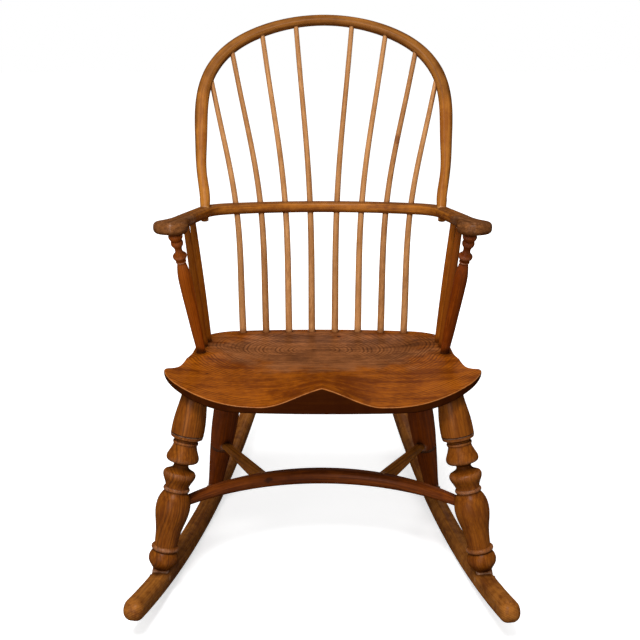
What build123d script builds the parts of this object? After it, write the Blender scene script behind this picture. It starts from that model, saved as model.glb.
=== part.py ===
from build123d import *

import os
from math import asin, cos, degrees, pi, radians, sin, sqrt

os.makedirs("parts", exist_ok=True)

# Hoop back rocking chair. Millimetres, +Z up, front towards -Y, left and right as seen from the
# front. The origin lies on the floor, midway between the ends of the rockers.

# ---------------------------------------------------------------- joints
glue_gap = 0.1  # radial room round every tenon in its socket
end_gap = 0.5  # room left past the end of every tenon

# ---------------------------------------------------------------- seat
seat_height = 400.0  # top of the deck above the floor, over the origin
seat_tilt = 4.0  # degrees, falling towards the back
seat_thickness = 50.0
seat_front = 298.0  # pommel, ahead of the origin
seat_back = 106.0
seat_waist = 249.0  # half width between the arm posts
ear_half_width = 288.0
ear_setback = 172.0
ear_overhang = 2.0  # the untrimmed corner of the ear, past its half width
ear_hook = 12.0  # and behind its setback
thigh_inset = 32.0  # where the front arc meets the ear: in from the half width
thigh_setback = 66.0  # and back from the pommel
waist_end = 102.0  # where the straight side ends, behind the ears
dish_depth = 14.0
dish_half_width = 198.0
dish_back = 68.0
dish_centre = -60.0
ear_sweep = 335.0  # half width that the dish opens to at the ears
dish_lead = 3.0  # behind the arm posts, where the dish starts to open to the ears
dish_trail = 8.0  # ahead of the ears, where it is fully open
thigh_fall = 39.0  # how far the front edge drops under each thigh
pommel_fall = 2.4
pommel_half_width = 110.0
fall_start = -120.0
ear_rise = 17.0  # how far the front edge climbs again towards the ears
ear_rise_start = 125.0  # half width where that climb begins
ear_rise_end = 258.0  # and where it has its full height
underside_flat = 160.0  # half width of the flat underside
underside_crease = 4.0  # degrees, where the shaved sides leave the flat
underside_radius = 360.0
underside_sweep = 24.0  # degrees
rim_round = 3.0
nose_radius = 1565.0  # the front outline in plan, from the pommel outwards
nose_sweep = 4.6
back_radius = 1230.0
back_sweep = 8.5
flank_radius = 200.0
flank_sweep = 21.0
ear_round = 11.0
blank_spare = 20.0  # waste round the seat board that the shaping cuts start in

# ---------------------------------------------------------------- rockers
rocker_reach = 426.0  # from the origin to either end
rocker_radius = 1560.0
rocker_height = 38.0
rocker_width = 35.0
rocker_spread = 250.0  # half distance between the rockers, at the origin
rocker_toe = 9.1  # degrees, closer together at the back
rocker_contact = -55.0  # lowest point, under the centre of mass
rocker_round = 14.0

# ---------------------------------------------------------------- legs
front_foot_y = -275.0
rear_foot_y = 87.0
front_top = (229.0, -208.0)  # where the leg axis meets the underside, on the seat
rear_top = (180.5, 12.0)
foot_tenon_radius = 9.5
foot_tenon_length = 22.0
front_tenon_radius = 10.5
front_tenon_length = 24.0
rear_tenon_radius = 12.5
rear_tenon_length = 28.0
peg_radius = 4.0
peg_depth = 15.0  # below the top of the rocker

# ---------------------------------------------------------------- stretchers
stretcher_rise = 120.0  # up the front leg from its foot
stretcher_setback = 126.0  # how far the bow stands behind the line between the legs
stretcher_width = 30.0
stretcher_thickness = 28.5
stretcher_end = 14.5  # width and thickness at the legs
stretcher_tenon_radius = 6.0
stretcher_tenon_length = 20.0
stretcher_fullness = 0.8  # below 1 the stretcher keeps its full section further out
spur_rise = 116.0  # up the rear leg from its foot
spur_half_span = 113.0  # from the middle of the bow
spur_end_radius = 8.0
spur_bow_radius = 14.0
spur_tenon_radius = 7.5
spur_leg_tenon_radius = 6.8
spur_tenon_length = 18.0

# ---------------------------------------------------------------- arm bow
arm_height = 268.0  # top of the bow above the deck
arm_thickness = 22.0
arm_width = 27.0
arm_back = 106.0  # middle of the bow at the back, behind the origin along the seat
arm_back_radius = 470.0
arm_back_angle = 23.4
arm_corner_radius = 75.0
arm_flare = 9.0  # degrees, the arms open towards the front
arm_side_length = 251.0
arm_round = 9.0
pad_length = 159.0
pad_feather = 5.0  # degrees, where the hand pad runs out into the arm
pad_lip = 8.0  # how far from there its thin edge is cut off square
hand_outer_swell = 10.0
hand_inner_swell = 22.5

# ---------------------------------------------------------------- hoop
hoop_rise = 406.5  # up the plane of the hoop, from the arm bow to its crown
hoop_rake = 32.0  # degrees from upright
hoop_half_width = 243.0
hoop_crown_radius = 325.0
hoop_crown_angle = 28.0
hoop_widths = (17.0, 19.5, 23.5, 25.8, 24.8, 23.6, 22.5, 21.3, 20.5)  # foot to crown
hoop_depths = (17.0, 18.5, 19.5, 20.0, 20.0, 20.0, 20.0, 20.0, 20.0)
hoop_tenon_radius = 7.0
hoop_tenon_proud = 4.0  # what shows under the arm bow
hoop_foot_spare = 13.2  # blank left on each foot for scribing it to the arm bow
bar_rounding = 0.42  # corner radius of the bent bars, as a share of their thinner side

# ---------------------------------------------------------------- sticks and posts
spindles_per_side = 4
spindle_seat_first = 24.0
spindle_seat_pitch = 47.5
spindle_seat_inset = 20.0
spindle_seat_curve = 1730.0
spindle_arm_first = 3.3  # degrees round the back of the bow
spindle_arm_pitch = 6.15
spindle_hoop_first = 58.0
spindle_hoop_pitch = 72.0
spindle_radii = (7.2, 6.9, 6.4, 5.9, 5.5, 5.2, 4.9)  # evenly spaced, foot to tip
spindle_tenon = 26.0
stick_seats = ((232.0, -32.0), (229.0, 6.0))  # side sticks on the deck
stick_arms = (116.0, 76.0)  # the same sticks along the side of the arm bow
stick_radii = (6.9, 7.2, 7.5, 7.5, 7.1, 6.4, 5.6)
stick_tenon = 14.0
stick_foot_tenon = 24.0
post_seat = (232.0, -78.0)
post_arm = 205.0  # along the side of the arm bow
post_inset = 7.0  # towards the inner edge of the hand
post_tenon_radius = 5.5
post_foot_tenon = 24.0
post_arm_tenon = 13.0

# ---------------------------------------------------------------- frames of reference
tilt = radians(seat_tilt)
SEAT = Plane(origin=(0, 0, seat_height), x_dir=(1, 0, 0), z_dir=(0, sin(tilt), cos(tilt)))
ARM = SEAT.offset(arm_height - arm_thickness / 2)


def on_seat(x, y, up=0.0):
    """A point given along, across and above the deck of the seat."""
    return SEAT.from_local_coords(Vector(x, y, up))


def crosswise(direction):
    """A direction square to the given one and to the front-to-back line."""
    return Vector(0, 1, 0).cross(direction).normalized()


def turning(base, tip):
    """The plane of a turned profile (radius across, height along) and the lathe axis."""
    along = (tip - base).normalized()
    across = crosswise(along)
    return Plane(origin=base, x_dir=across, z_dir=across.cross(along)), Axis(base, along)


def dowel(start, end, radius):
    """A plain round pin between two points."""
    with BuildPart() as pin:
        with BuildSketch(Plane(origin=start, x_dir=crosswise(end - start), z_dir=end - start)):
            Circle(radius)
        extrude(amount=(end - start).length)
    return pin.part


def round_stick(path, radii, grow=0.0, reach=0.0):
    """A round stick along a path; grow and reach widen and lengthen it into its own socket."""
    last = len(radii) - 1
    with BuildPart() as stick:
        for number, radius in enumerate(radii):
            along = path % (number / last)
            push = {0: -reach, last: reach}.get(number, 0.0)
            centre = path @ (number / last) + along * push
            with BuildSketch(Plane(origin=centre, x_dir=crosswise(along), z_dir=along)):
                Circle(radius + grow)
        loft()
    return stick.part


def turned(base, tip, runs):
    """Lathe work: each run is a smooth line of (height, radius) points, runs meet at edges."""
    plane, axis = turning(base, tip)
    with BuildPart() as work:
        with BuildSketch(plane):
            with BuildLine():
                for run in runs:
                    points = [(radius, height) for height, radius in run]
                    if len(points) == 2:
                        Line(*points)
                    else:
                        Spline(*points)
                first, last = runs[0][0], runs[-1][-1]
                Polyline((last[1], last[0]), (0, last[0]), (0, first[0]), (first[1], first[0]))
            make_face()
        revolve(axis=axis)
    return work.part


def bead(low, high, valley, crest):
    """A rounded ring between two heights."""
    quarter = (high - low) / 4
    shoulder = valley + 0.8 * (crest - valley)
    return [
        (low, valley),
        (low + quarter, shoulder),
        (low + 2 * quarter, crest),
        (low + 3 * quarter, shoulder),
        (high, valley),
    ]


def scored(height, radius):
    """A fine V groove round a turned surface."""
    half, depth = 0.7, 0.8
    return [
        [(height - half, radius), (height, radius - depth)],
        [(height, radius - depth), (height + half, radius)],
    ]


def flip(piece):
    """The left-hand twin of a right-hand piece."""
    with BuildPart() as twin:
        mirror(piece, about=Plane.YZ)
    return twin.part


def finish(builder, name):
    """Label a finished piece and write its file."""
    builder.part.label = name
    export_step(builder.part, f"parts/{name}.step")


def finish_pair(builder, name):
    """Write a right-hand piece and its left-hand twin."""
    finish(builder, f"{name}_right")
    with BuildPart() as twin:
        mirror(builder.part, about=Plane.YZ)
    finish(twin, f"{name}_left")


# ---------------------------------------------------------------- rocker blank
toe = radians(rocker_toe)
ROCKER = Plane(
    origin=(rocker_spread, 0, 0),
    x_dir=(-sin(toe), cos(toe), 0),
    z_dir=(cos(toe), sin(toe), 0),
)
rocker_centre = Vector(rocker_contact / cos(toe), rocker_radius)


def rocker_point(y, height):
    """A point over the middle of the right rocker, at a height above its running edge."""
    along = y / cos(toe)
    radius = rocker_radius - height
    drop = sqrt(radius**2 - (along - rocker_centre.X) ** 2)
    return ROCKER.from_local_coords(Vector(along, rocker_radius - drop, 0))


nose = rocker_height / 2
end_along = (rocker_reach - nose) / cos(toe)
middle_radius = rocker_radius - nose
front_angle = -90 - degrees(asin((end_along + rocker_centre.X) / middle_radius))
rear_angle = -90 + degrees(asin((end_along - rocker_centre.X) / middle_radius))
rocker_sweep = rear_angle - front_angle

with BuildPart() as rocker_blank:
    with BuildSketch(ROCKER):
        with BuildLine():
            running = CenterArc(rocker_centre, rocker_radius, front_angle, rocker_sweep)
            upper = CenterArc(
                rocker_centre, rocker_radius - rocker_height, front_angle, rocker_sweep
            )
            TangentArc(running @ 1, upper @ 1, tangent=running % 1)
            TangentArc(running @ 0, upper @ 0, tangent=-(running % 0))
        make_face()
    extrude(amount=rocker_width / 2, both=True)
    flats = rocker_blank.faces().filter_by(Plane(origin=(0, 0, 0), z_dir=ROCKER.z_dir))
    fillet(flats.edges(), rocker_round)

# ---------------------------------------------------------------- seat blank


def ease(share):
    """A smooth step from 0 to 1."""
    share = min(max(share, 0.0), 1.0)
    return share * share * (3 - 2 * share)


def hollow(x, y):
    """Depth of the saddled top below the deck; negative where the deck is left flat."""
    post_line, ear_line = post_seat[1] + dish_lead, -ear_setback - dish_trail
    opening = ease((post_line - y) / (post_line - ear_line))
    half = dish_half_width + (ear_sweep - dish_half_width) * opening
    back = max(0.0, (y - dish_centre) / (dish_back - dish_centre))
    bowl = dish_depth * (1 - (x / half) ** 4 - back**4)
    share = min(x / pommel_half_width, 1.0)
    ridge = (sin(pi / 2 * share) + (1 - cos(pi * share)) / 2) / 2
    edge = pommel_fall + (thigh_fall - pommel_fall) * ridge
    outer = max(0.0, x - ear_rise_start) / (ear_rise_end - ear_rise_start)
    edge -= ear_rise * outer**2
    fall = max(0.0, (fall_start - y) / (fall_start + seat_front)) ** 1.3
    return (1 - fall) * bowl + fall * edge


def saddle_waste():
    """The waste above the saddled top of the right half of the seat."""
    columns, rows, spare = 25, 33, 12.0
    width, length = ear_half_width + 2 * spare, seat_front + seat_back + 2 * spare
    points = []
    for column in range(columns):
        x = width * column / (columns - 1) - spare / 2
        line = [-seat_front - spare + length * row / (rows - 1) for row in range(rows)]
        points.append([on_seat(x, y, -hollow(x, y)) for y in line])
    top = Face.make_surface_from_array_of_points(points, tol=0.02, min_deg=3, max_deg=3)
    return Solid.extrude(top, SEAT.z_dir * 2 * seat_thickness)


back_run = back_radius * sin(radians(back_sweep))
corner_radius = (seat_waist - back_run) / (1 - sin(radians(back_sweep)))

with BuildPart() as underside_waste:
    behind = on_seat(0, seat_back + blank_spare)
    with BuildSketch(Plane(origin=behind, x_dir=(1, 0, 0), z_dir=-SEAT.y_dir)):
        with BuildLine():
            crease = radians(underside_crease)
            outside = ear_half_width + 3 * blank_spare
            rise = JernArc(
                (underside_flat, -seat_thickness),
                (cos(crease), sin(crease)),
                underside_radius,
                underside_sweep,
            )
            Polyline(
                rise @ 1,
                (outside, (rise @ 1).Y),
                (outside, -2 * seat_thickness),
                (underside_flat, -2 * seat_thickness),
                rise @ 0,
            )
        make_face()
    extrude(amount=seat_front + seat_back + 3 * blank_spare)

with BuildPart() as seat_blank:
    with BuildSketch(SEAT):
        with BuildLine():
            nose_arc = JernArc((0, -seat_front), (1, 0), nose_radius, nose_sweep)
            thigh_end = (ear_half_width - thigh_inset, thigh_setback - seat_front)
            thigh = TangentArc(nose_arc @ 1, thigh_end, tangent=nose_arc % 1)
            ear_end = (ear_half_width + ear_overhang, ear_hook - ear_setback)
            ear = TangentArc(thigh @ 1, ear_end, tangent=thigh % 1)
            back = JernArc((0, seat_back), (1, 0), back_radius, -back_sweep)
            corner = JernArc(back @ 1, back % 1, corner_radius, back_sweep - 90)
            side = Line(corner @ 1, (seat_waist, waist_end - ear_setback))
            flank = JernArc(side @ 1, (0, -1), flank_radius, flank_sweep)
            scoop = TangentArc(flank @ 1, ear @ 1, tangent=flank % 1)
            Line(back @ 0, nose_arc @ 0)
        make_face()
        fillet(vertices().sort_by(Axis.X)[-1], ear_round)
    extrude(amount=-seat_thickness)
    add(underside_waste.part, mode=Mode.SUBTRACT)
    add(saddle_waste(), mode=Mode.SUBTRACT)
    mirror(about=Plane.YZ)
    walls = faces().filter_by(lambda face: abs(face.normal_at().dot(SEAT.z_dir)) < 0.1)
    rim = walls.edges().filter_by(lambda edge: abs((edge % 0.5).dot(SEAT.z_dir)) < 0.7)
    fillet(rim, rim_round)


# ---------------------------------------------------------------- legs
front_base = rocker_point(front_foot_y, rocker_height)
front_tip = on_seat(*front_top, -seat_thickness)
front_along = (front_tip - front_base).normalized()
front_length = (front_tip - front_base).length
leg_spare = 8.0  # blank left on for scribing the foot to the rocker
head_spare = 22.0  # and the head to the underside of the seat

front_leg_blank = turned(
    front_base,
    front_tip,
    [
        [(-leg_spare, 14.7), (3, 14.7)],
        [(3, 14.7), (10, 20.3), (18, 25.2), (25, 26.2), (32, 24.4), (38, 20.8)],
        [(38, 20.8), (39.5, 23), (43.5, 25), (47.5, 23), (49, 20.6)],
        [(49, 20.6), (51.5, 20.6)],
        [(51.5, 20.6), (62, 21.6), (78, 23.7), (97, 28), (116, 31), (133, 29.4), (149, 21.3)],
        [(149, 21.3), (150.5, 21.3)],
        bead(150.5, 158.5, 21.3, 24),
        [(158.5, 21.3), (160, 21.3)],
        [(160, 21.3), (165, 22.9), (171, 25.8), (177, 28.6), (182, 29.4), (187, 27.2)],
        [(187, 27.2), (191, 19.5), (196, 14.2), (199.5, 13.3), (203, 16.4), (206.5, 25.6)],
        [(206.5, 25.6), (209, 28.3), (212.5, 29.3), (221, 27), (229, 23.6), (237, 21.2)],
        [(237, 21.2), (238.5, 21.2)],
        bead(238.5, 245, 21.2, 22.9),
        [(245, 21.2), (247, 21.2)],
        [(247, 21.2), (251, 28.3)],
        [(251, 28.3), (256.3, 29.5)],
        *scored(257, 29.5),
        [
            (257.7, 29.5),
            (270, 29.6),
            (294, 27.7),
            (front_length - 14, 25.5),
            (front_length + head_spare, 23.4),
        ],
    ],
)

rear_base = rocker_point(rear_foot_y, rocker_height)
rear_tip = on_seat(*rear_top, -seat_thickness)
rear_along = (rear_tip - rear_base).normalized()
rear_length = (rear_tip - rear_base).length

rear_leg_blank = turned(
    rear_base,
    rear_tip,
    [
        [(-leg_spare, 15.4), (0, 15.6), (34, 17.8), (70, 20.7), (107.3, 23.4)],
        *scored(108, 23.4),
        [(108.7, 23.4), (111.3, 23.6)],
        *scored(112, 23.6),
        [
            (112.7, 23.6),
            (150, 26),
            (193, 26.8),
            (250, 26),
            (rear_length, 24.2),
            (rear_length + head_spare / 2, 23.8),
        ],
    ],
)


def foot_tenon(base, along, gap=0.0, end=0.0):
    """The round tenon under a leg; the gaps widen it into its mortise in the rocker."""
    return dowel(base + along * 2, base - along * (foot_tenon_length + end), foot_tenon_radius + gap)


def head_tenon(tip, along, radius, length, gap=0.0, end=0.0):
    """The round tenon on top of a leg; the gaps widen it into its socket in the seat."""
    return dowel(tip - along * leg_spare, tip + along * (length + end), radius + gap)


def peg(base, along, gap=0.0, end=0.0):
    """The pin across a rocker and the foot tenon inside it."""
    middle = base - along * peg_depth
    half = ROCKER.z_dir * (rocker_width / 2 + end)
    return dowel(middle - half, middle + half, peg_radius + gap)


# ---------------------------------------------------------------- bowed stretcher and spurs
bow_end = front_base + front_along * stretcher_rise
bow_half_span = bow_end.X
bow_radius = (bow_half_span**2 + stretcher_setback**2) / (2 * stretcher_setback)
BOW = Plane(origin=(0, bow_end.Y, bow_end.Z), x_dir=(1, 0, 0), z_dir=(0, 0, 1))

with BuildLine(BOW) as bow_line:
    ThreePointArc((-bow_half_span, 0), (0, stretcher_setback), (bow_half_span, 0))
bow_path = bow_line.wires()[0]


def bar(path, stations, depth_direction, extend=0.0):
    """A bent bar lofted through (share, width, depth) stations; width lies in the bend."""
    with BuildPart() as work:
        for number, (share, width, depth) in enumerate(stations):
            distance = share * path.length
            along = path.tangent_at(distance, position_mode=PositionMode.LENGTH)
            centre = path.position_at(distance, position_mode=PositionMode.LENGTH)
            centre += along * {0: -extend, len(stations) - 1: extend}.get(number, 0.0)
            across = depth_direction.cross(along)
            with BuildSketch(Plane(origin=centre, x_dir=across, z_dir=along)):
                RectangleRounded(width, depth, bar_rounding * min(width, depth))
        loft()
    return work.part


bow_stations = []
bow_slices = 10
for number in range(bow_slices + 1):
    share = number / bow_slices
    fullness = sin(pi * share) ** stretcher_fullness
    bow_stations.append(
        (
            share,
            stretcher_end + (stretcher_width - stretcher_end) * fullness,
            stretcher_end + (stretcher_thickness - stretcher_end) * fullness,
        )
    )
bow_blank = bar(bow_path, bow_stations, BOW.z_dir)

leg_at_bow = 31.0  # radius of the front leg where the stretcher enters
bow_along = bow_path % 1


def bow_tenon(gap=0.0, end=0.0):
    """The round tenon on the right end of the bowed stretcher."""
    start = bow_end - bow_along * (leg_at_bow + 8)
    stop = bow_end - bow_along * (leg_at_bow - stretcher_tenon_length - end)
    return dowel(start, stop, stretcher_tenon_radius + gap)


spur_root = rear_base + rear_along * spur_rise
spur_target = BOW.from_local_coords(
    Vector(spur_half_span, stretcher_setback - bow_radius + sqrt(bow_radius**2 - spur_half_span**2))
)
spur_along = (spur_target - spur_root).normalized()
spur_length = (spur_target - spur_root).length
leg_at_spur = 23.8  # radius of the rear leg where the spur enters

spur_blank = turned(
    spur_root,
    spur_target,
    [
        [
            (0, spur_end_radius),
            (0.35 * spur_length, 0.62 * spur_end_radius + 0.38 * spur_bow_radius),
            (0.75 * spur_length, 0.2 * spur_end_radius + 0.8 * spur_bow_radius),
            (spur_length, spur_bow_radius),
        ]
    ],
)


def spur_bow_tenon(gap=0.0, end=0.0):
    """The tenon of the right spur in the bowed stretcher."""
    start = spur_target - spur_along * (stretcher_width / 2 + 6)
    return dowel(start, spur_target + spur_along * (spur_tenon_length / 4 + end), spur_tenon_radius + gap)


def spur_leg_tenon(gap=0.0, end=0.0):
    """The tenon of the right spur in the rear leg."""
    start = spur_root + spur_along * (leg_at_spur + 6)
    stop = spur_root + spur_along * (leg_at_spur - spur_tenon_length - end)
    return dowel(start, stop, spur_leg_tenon_radius + gap)


# ---------------------------------------------------------------- arm bow
half_arm = arm_width / 2
flare = radians(arm_flare)
corner_turn = 90 - arm_flare - arm_back_angle


def arm_edge(offset):
    """Back and corner arcs of the arm bow, offset outwards from its centreline."""
    back_arc = JernArc((0, arm_back + offset), (1, 0), arm_back_radius + offset, -arm_back_angle)
    turn = JernArc(back_arc @ 1, back_arc % 1, arm_corner_radius + offset, -corner_turn)
    return back_arc, turn


with BuildLine(ARM) as arm_line:
    arm_edge(0.0)
arm_corner = ARM.to_local_coords(arm_line.wires()[0] @ 1)


def along_arm(reach, outwards=0.0):
    """A point beside the straight of the right arm, in the plane of the arm bow."""
    x = arm_corner.X + reach * sin(flare) + outwards * cos(flare)
    y = arm_corner.Y - reach * cos(flare) + outwards * sin(flare)
    return Vector(x, y)


feather = radians(pad_feather)
tip_reach = arm_side_length
pad_start = arm_side_length - pad_length

with BuildPart() as arm_whole:
    with BuildSketch(ARM.offset(-arm_thickness / 2)):
        with BuildLine():
            outer_back, outer_turn = arm_edge(half_arm)
            outer_side = Line(outer_turn @ 1, along_arm(tip_reach - 121, half_arm))
            hand = Spline(
                outer_side @ 1,
                along_arm(tip_reach - 51, half_arm + hand_outer_swell * 0.45),
                along_arm(tip_reach - 23, half_arm + hand_outer_swell),
                along_arm(tip_reach - 5, half_arm - 5.5),
                along_arm(tip_reach, -half_arm * 0.45),
                along_arm(tip_reach - 5, -half_arm - hand_inner_swell * 0.5),
                along_arm(tip_reach - 19, -half_arm - hand_inner_swell),
                along_arm(tip_reach - 46, -half_arm - hand_inner_swell * 0.78),
                along_arm(tip_reach - 79, -half_arm - hand_inner_swell * 0.33),
                along_arm(pad_start, -half_arm),
                tangents=(outer_side % 1, Vector(-sin(flare - feather), cos(flare - feather))),
            )
            inner_side = Line(hand @ 1, along_arm(0, -half_arm))
            inner_back, inner_turn = arm_edge(-half_arm)
            Line(inner_back @ 0, outer_back @ 0)
        make_face()
        mirror(about=Plane.YZ)
    extrude(amount=arm_thickness)
    flats = faces().filter_by(Plane(origin=(0, 0, 0), z_dir=ARM.z_dir))
    fillet(flats.edges(), arm_round)


def on_arm(point, up=0.0):
    """A point of the arm bow's own plane, raised above its middle."""
    return ARM.from_local_coords(Vector(point.X, point.Y, up))


with BuildPart() as pad_region:
    with BuildSketch(ARM.offset(-arm_thickness)):
        with BuildLine():
            Polyline(
                along_arm(pad_start + pad_lip, -half_arm),
                along_arm(tip_reach + 20, -half_arm),
                along_arm(tip_reach + 20, -half_arm - 3 * hand_inner_swell),
                along_arm(pad_start + pad_lip, -half_arm - 3 * hand_inner_swell),
                close=True,
            )
        make_face()
    extrude(amount=2 * arm_thickness)

# ---------------------------------------------------------------- hoop
rake = radians(hoop_rake)
HOOP = Plane(
    origin=on_seat(0, arm_corner.Y, arm_height), x_dir=(1, 0, 0), z_dir=(0, -cos(rake), sin(rake))
)
crown_turn = radians(hoop_crown_angle)
crown_run = hoop_crown_radius * sin(crown_turn)
shoulder_radius = (hoop_half_width - crown_run) / (1 - sin(crown_turn))
widest = hoop_rise - hoop_crown_radius + (hoop_crown_radius - shoulder_radius) * cos(crown_turn)
foot_inset = hoop_half_width - arm_corner.X
side_radius = (widest**2 + foot_inset**2) / (2 * foot_inset)
side_turn = degrees(asin(widest / side_radius))
shoulder_turn = 90 - hoop_crown_angle

with BuildLine(HOOP) as hoop_line:
    start = (-arm_corner.X, 0)
    upward = (-sin(radians(side_turn)), cos(radians(side_turn)))
    left_side = JernArc(start, upward, side_radius, -side_turn)
    left_shoulder = JernArc(left_side @ 1, left_side % 1, shoulder_radius, -shoulder_turn)
    crown = JernArc(left_shoulder @ 1, left_shoulder % 1, hoop_crown_radius, -2 * hoop_crown_angle)
    right_shoulder = JernArc(crown @ 1, crown % 1, shoulder_radius, -shoulder_turn)
    JernArc(right_shoulder @ 1, right_shoulder % 1, side_radius, -side_turn)
hoop_path = hoop_line.wires()[0]
hoop_foot = hoop_path @ 1
hoop_down = hoop_path % 1

half_widths = hoop_widths + hoop_widths[-2::-1]
half_depths = hoop_depths + hoop_depths[-2::-1]
hoop_stations = [
    (number / (len(half_widths) - 1), width, depth)
    for number, (width, depth) in enumerate(zip(half_widths, half_depths))
]
hoop_blank = bar(hoop_path, hoop_stations, HOOP.z_dir, hoop_foot_spare)


def hoop_tenon(gap=0.0, end=0.0):
    """The round tenon of the right foot of the hoop, right through the arm bow."""
    through = arm_thickness / abs(hoop_down.dot(SEAT.z_dir)) + hoop_tenon_proud
    start = hoop_foot - hoop_down * hoop_depths[0]
    return dowel(start, hoop_foot + hoop_down * (through + end), hoop_tenon_radius + gap)


# ---------------------------------------------------------------- sticks


def spindle(number, gap=0.0, end=0.0):
    """A long spindle of the right half; the gaps turn it into its own holes."""
    x = spindle_seat_first + spindle_seat_pitch * number
    y = seat_back - spindle_seat_inset - x**2 / (2 * spindle_seat_curve)
    angle = radians(spindle_arm_first + spindle_arm_pitch * number)
    arm_centre = arm_back - arm_back_radius
    through = on_arm(
        Vector(arm_back_radius * sin(angle), arm_centre + arm_back_radius * cos(angle))
    )
    lower = (through - on_seat(x, y)).normalized()
    run = hoop_path.length / 2 + spindle_hoop_first + spindle_hoop_pitch * number
    tip = hoop_path.position_at(run, position_mode=PositionMode.LENGTH)
    with BuildLine() as line:
        Spline(
            on_seat(x, y) - lower * spindle_tenon,
            through,
            tip,
            tangents=(lower, tip - through),
        )
    return round_stick(line.edges()[0], spindle_radii, gap, end)


def side_stick(seat_point, reach, gap=0.0, end=0.0):
    """A short stick between the seat and the right side of the arm bow."""
    foot = on_seat(*seat_point)
    shoulder = on_arm(along_arm(reach), -arm_thickness / 2)
    along = (shoulder - foot).normalized()
    with BuildLine() as line:
        Line(foot - along * stick_foot_tenon, shoulder + along * stick_tenon)
    return round_stick(line.edges()[0], stick_radii, gap, end)


# ---------------------------------------------------------------- arm posts
post_base = on_seat(*post_seat)
post_tip = on_arm(along_arm(post_arm, -post_inset), -arm_thickness / 2)
post_along = (post_tip - post_base).normalized()
post_length = (post_tip - post_base).length
neck = post_length - 63  # where the turned cup begins
post_spare = 6.0

post_blank = turned(
    post_base,
    post_tip,
    [
        [
            (-post_spare, 8.2),
            (0, 8.2),
            (43, 9.6),
            (80, 10.5),
            (127, 11.6),
            (162, 12.15),
            (neck - 29, 11.8),
            (neck - 13, 10),
            (neck - 2, 7.8),
        ],
        [(neck - 2, 7.8), (neck, 7.8)],
        [(neck, 7.8), (neck + 1.7, 9.5), (neck + 3.4, 8.6)],
        [(neck + 3.4, 8.6), (neck + 8, 10.3), (neck + 13, 12.6), (neck + 15, 12.4), (neck + 17.5, 10.4)],
        [(neck + 17.5, 10.4), (neck + 21, 7.6), (neck + 26, 6.4), (neck + 31, 7), (neck + 35, 8.8)],
        bead(neck + 35, neck + 46.5, 8.8, 11),
        [(neck + 46.5, 8.8), (neck + 48, 9.7)],
        [
            (neck + 48, 9.7),
            (neck + 51.5, 11.9),
            (neck + 56, 12.7),
            (neck + 60, 11.4),
            (post_length, 9),
            (post_length + post_spare, 7),
        ],
    ],
)


def post_foot(gap=0.0, end=0.0):
    """The tenon of the right arm post in the seat."""
    stop = post_base - post_along * (post_foot_tenon + end)
    return dowel(post_base + post_along * 2, stop, post_tenon_radius + gap)


def post_head(gap=0.0, end=0.0):
    """The tenon of the right arm post in the hand."""
    stop = post_tip + post_along * (post_arm_tenon + end)
    return dowel(post_tip - post_along * 2, stop, post_tenon_radius + gap)


# ---------------------------------------------------------------- holes shared by the pieces
stick_names = ("front", "rear")
stick_holes = [
    side_stick(seat_point, reach, glue_gap, end_gap)
    for seat_point, reach in zip(stick_seats, stick_arms)
]
spindle_holes = [spindle(number, glue_gap, end_gap) for number in range(spindles_per_side)]
foot_mortises = [
    foot_tenon(front_base, front_along, glue_gap, end_gap),
    foot_tenon(rear_base, rear_along, glue_gap, end_gap),
]
head_sockets = [
    head_tenon(
        front_tip, front_along, front_tenon_radius, front_tenon_length, glue_gap, end_gap
    ),
    head_tenon(rear_tip, rear_along, rear_tenon_radius, rear_tenon_length, glue_gap, end_gap),
]
peg_holes = [
    peg(front_base, front_along, glue_gap, end_gap),
    peg(rear_base, rear_along, glue_gap, end_gap),
]


def both(pieces):
    """The given right-hand pieces together with their left-hand twins."""
    return [*pieces, *(flip(piece) for piece in pieces)]


# ---------------------------------------------------------------- seat, hoop and arms
with BuildPart() as seat:
    add(seat_blank.part)
    sockets = both([*spindle_holes, *stick_holes, *head_sockets, post_foot(glue_gap, end_gap)])
    add(sockets, mode=Mode.SUBTRACT)
finish(seat, "seat")

with BuildPart() as back_hoop:
    add(hoop_blank)
    add(arm_whole.part, mode=Mode.SUBTRACT)
    add(both([hoop_tenon()]))
    add(both(spindle_holes), mode=Mode.SUBTRACT)
finish(back_hoop, "back_hoop")

with BuildPart() as arm_bow:
    add(arm_whole.part)
    add(both([pad_region.part]), mode=Mode.SUBTRACT)
    holes = [*spindle_holes, *stick_holes, post_head(glue_gap, end_gap)]
    add(both([*holes, hoop_tenon(glue_gap, hoop_tenon_proud)]), mode=Mode.SUBTRACT)
finish(arm_bow, "arm_bow")

with BuildPart() as hand_pad:
    add(arm_whole.part)
    add(pad_region.part, mode=Mode.INTERSECT)
finish_pair(hand_pad, "hand_pad")

# ---------------------------------------------------------------- sticks and posts
for number in range(spindles_per_side):
    with BuildPart() as right_spindle:
        add(spindle(number))
    finish(right_spindle, f"spindle_{spindles_per_side + 1 + number}")
    with BuildPart() as left_spindle:
        add(flip(right_spindle.part))
    finish(left_spindle, f"spindle_{spindles_per_side - number}")

for stick_name, seat_point, reach in zip(stick_names, stick_seats, stick_arms):
    with BuildPart() as stick:
        add(side_stick(seat_point, reach))
    finish_pair(stick, f"side_stick_{stick_name}")

with BuildPart() as arm_post:
    add(post_blank)
    add(seat_blank.part, mode=Mode.SUBTRACT)
    add(arm_whole.part, mode=Mode.SUBTRACT)
    add([post_foot(), post_head()])
finish_pair(arm_post, "arm_post")

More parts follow.
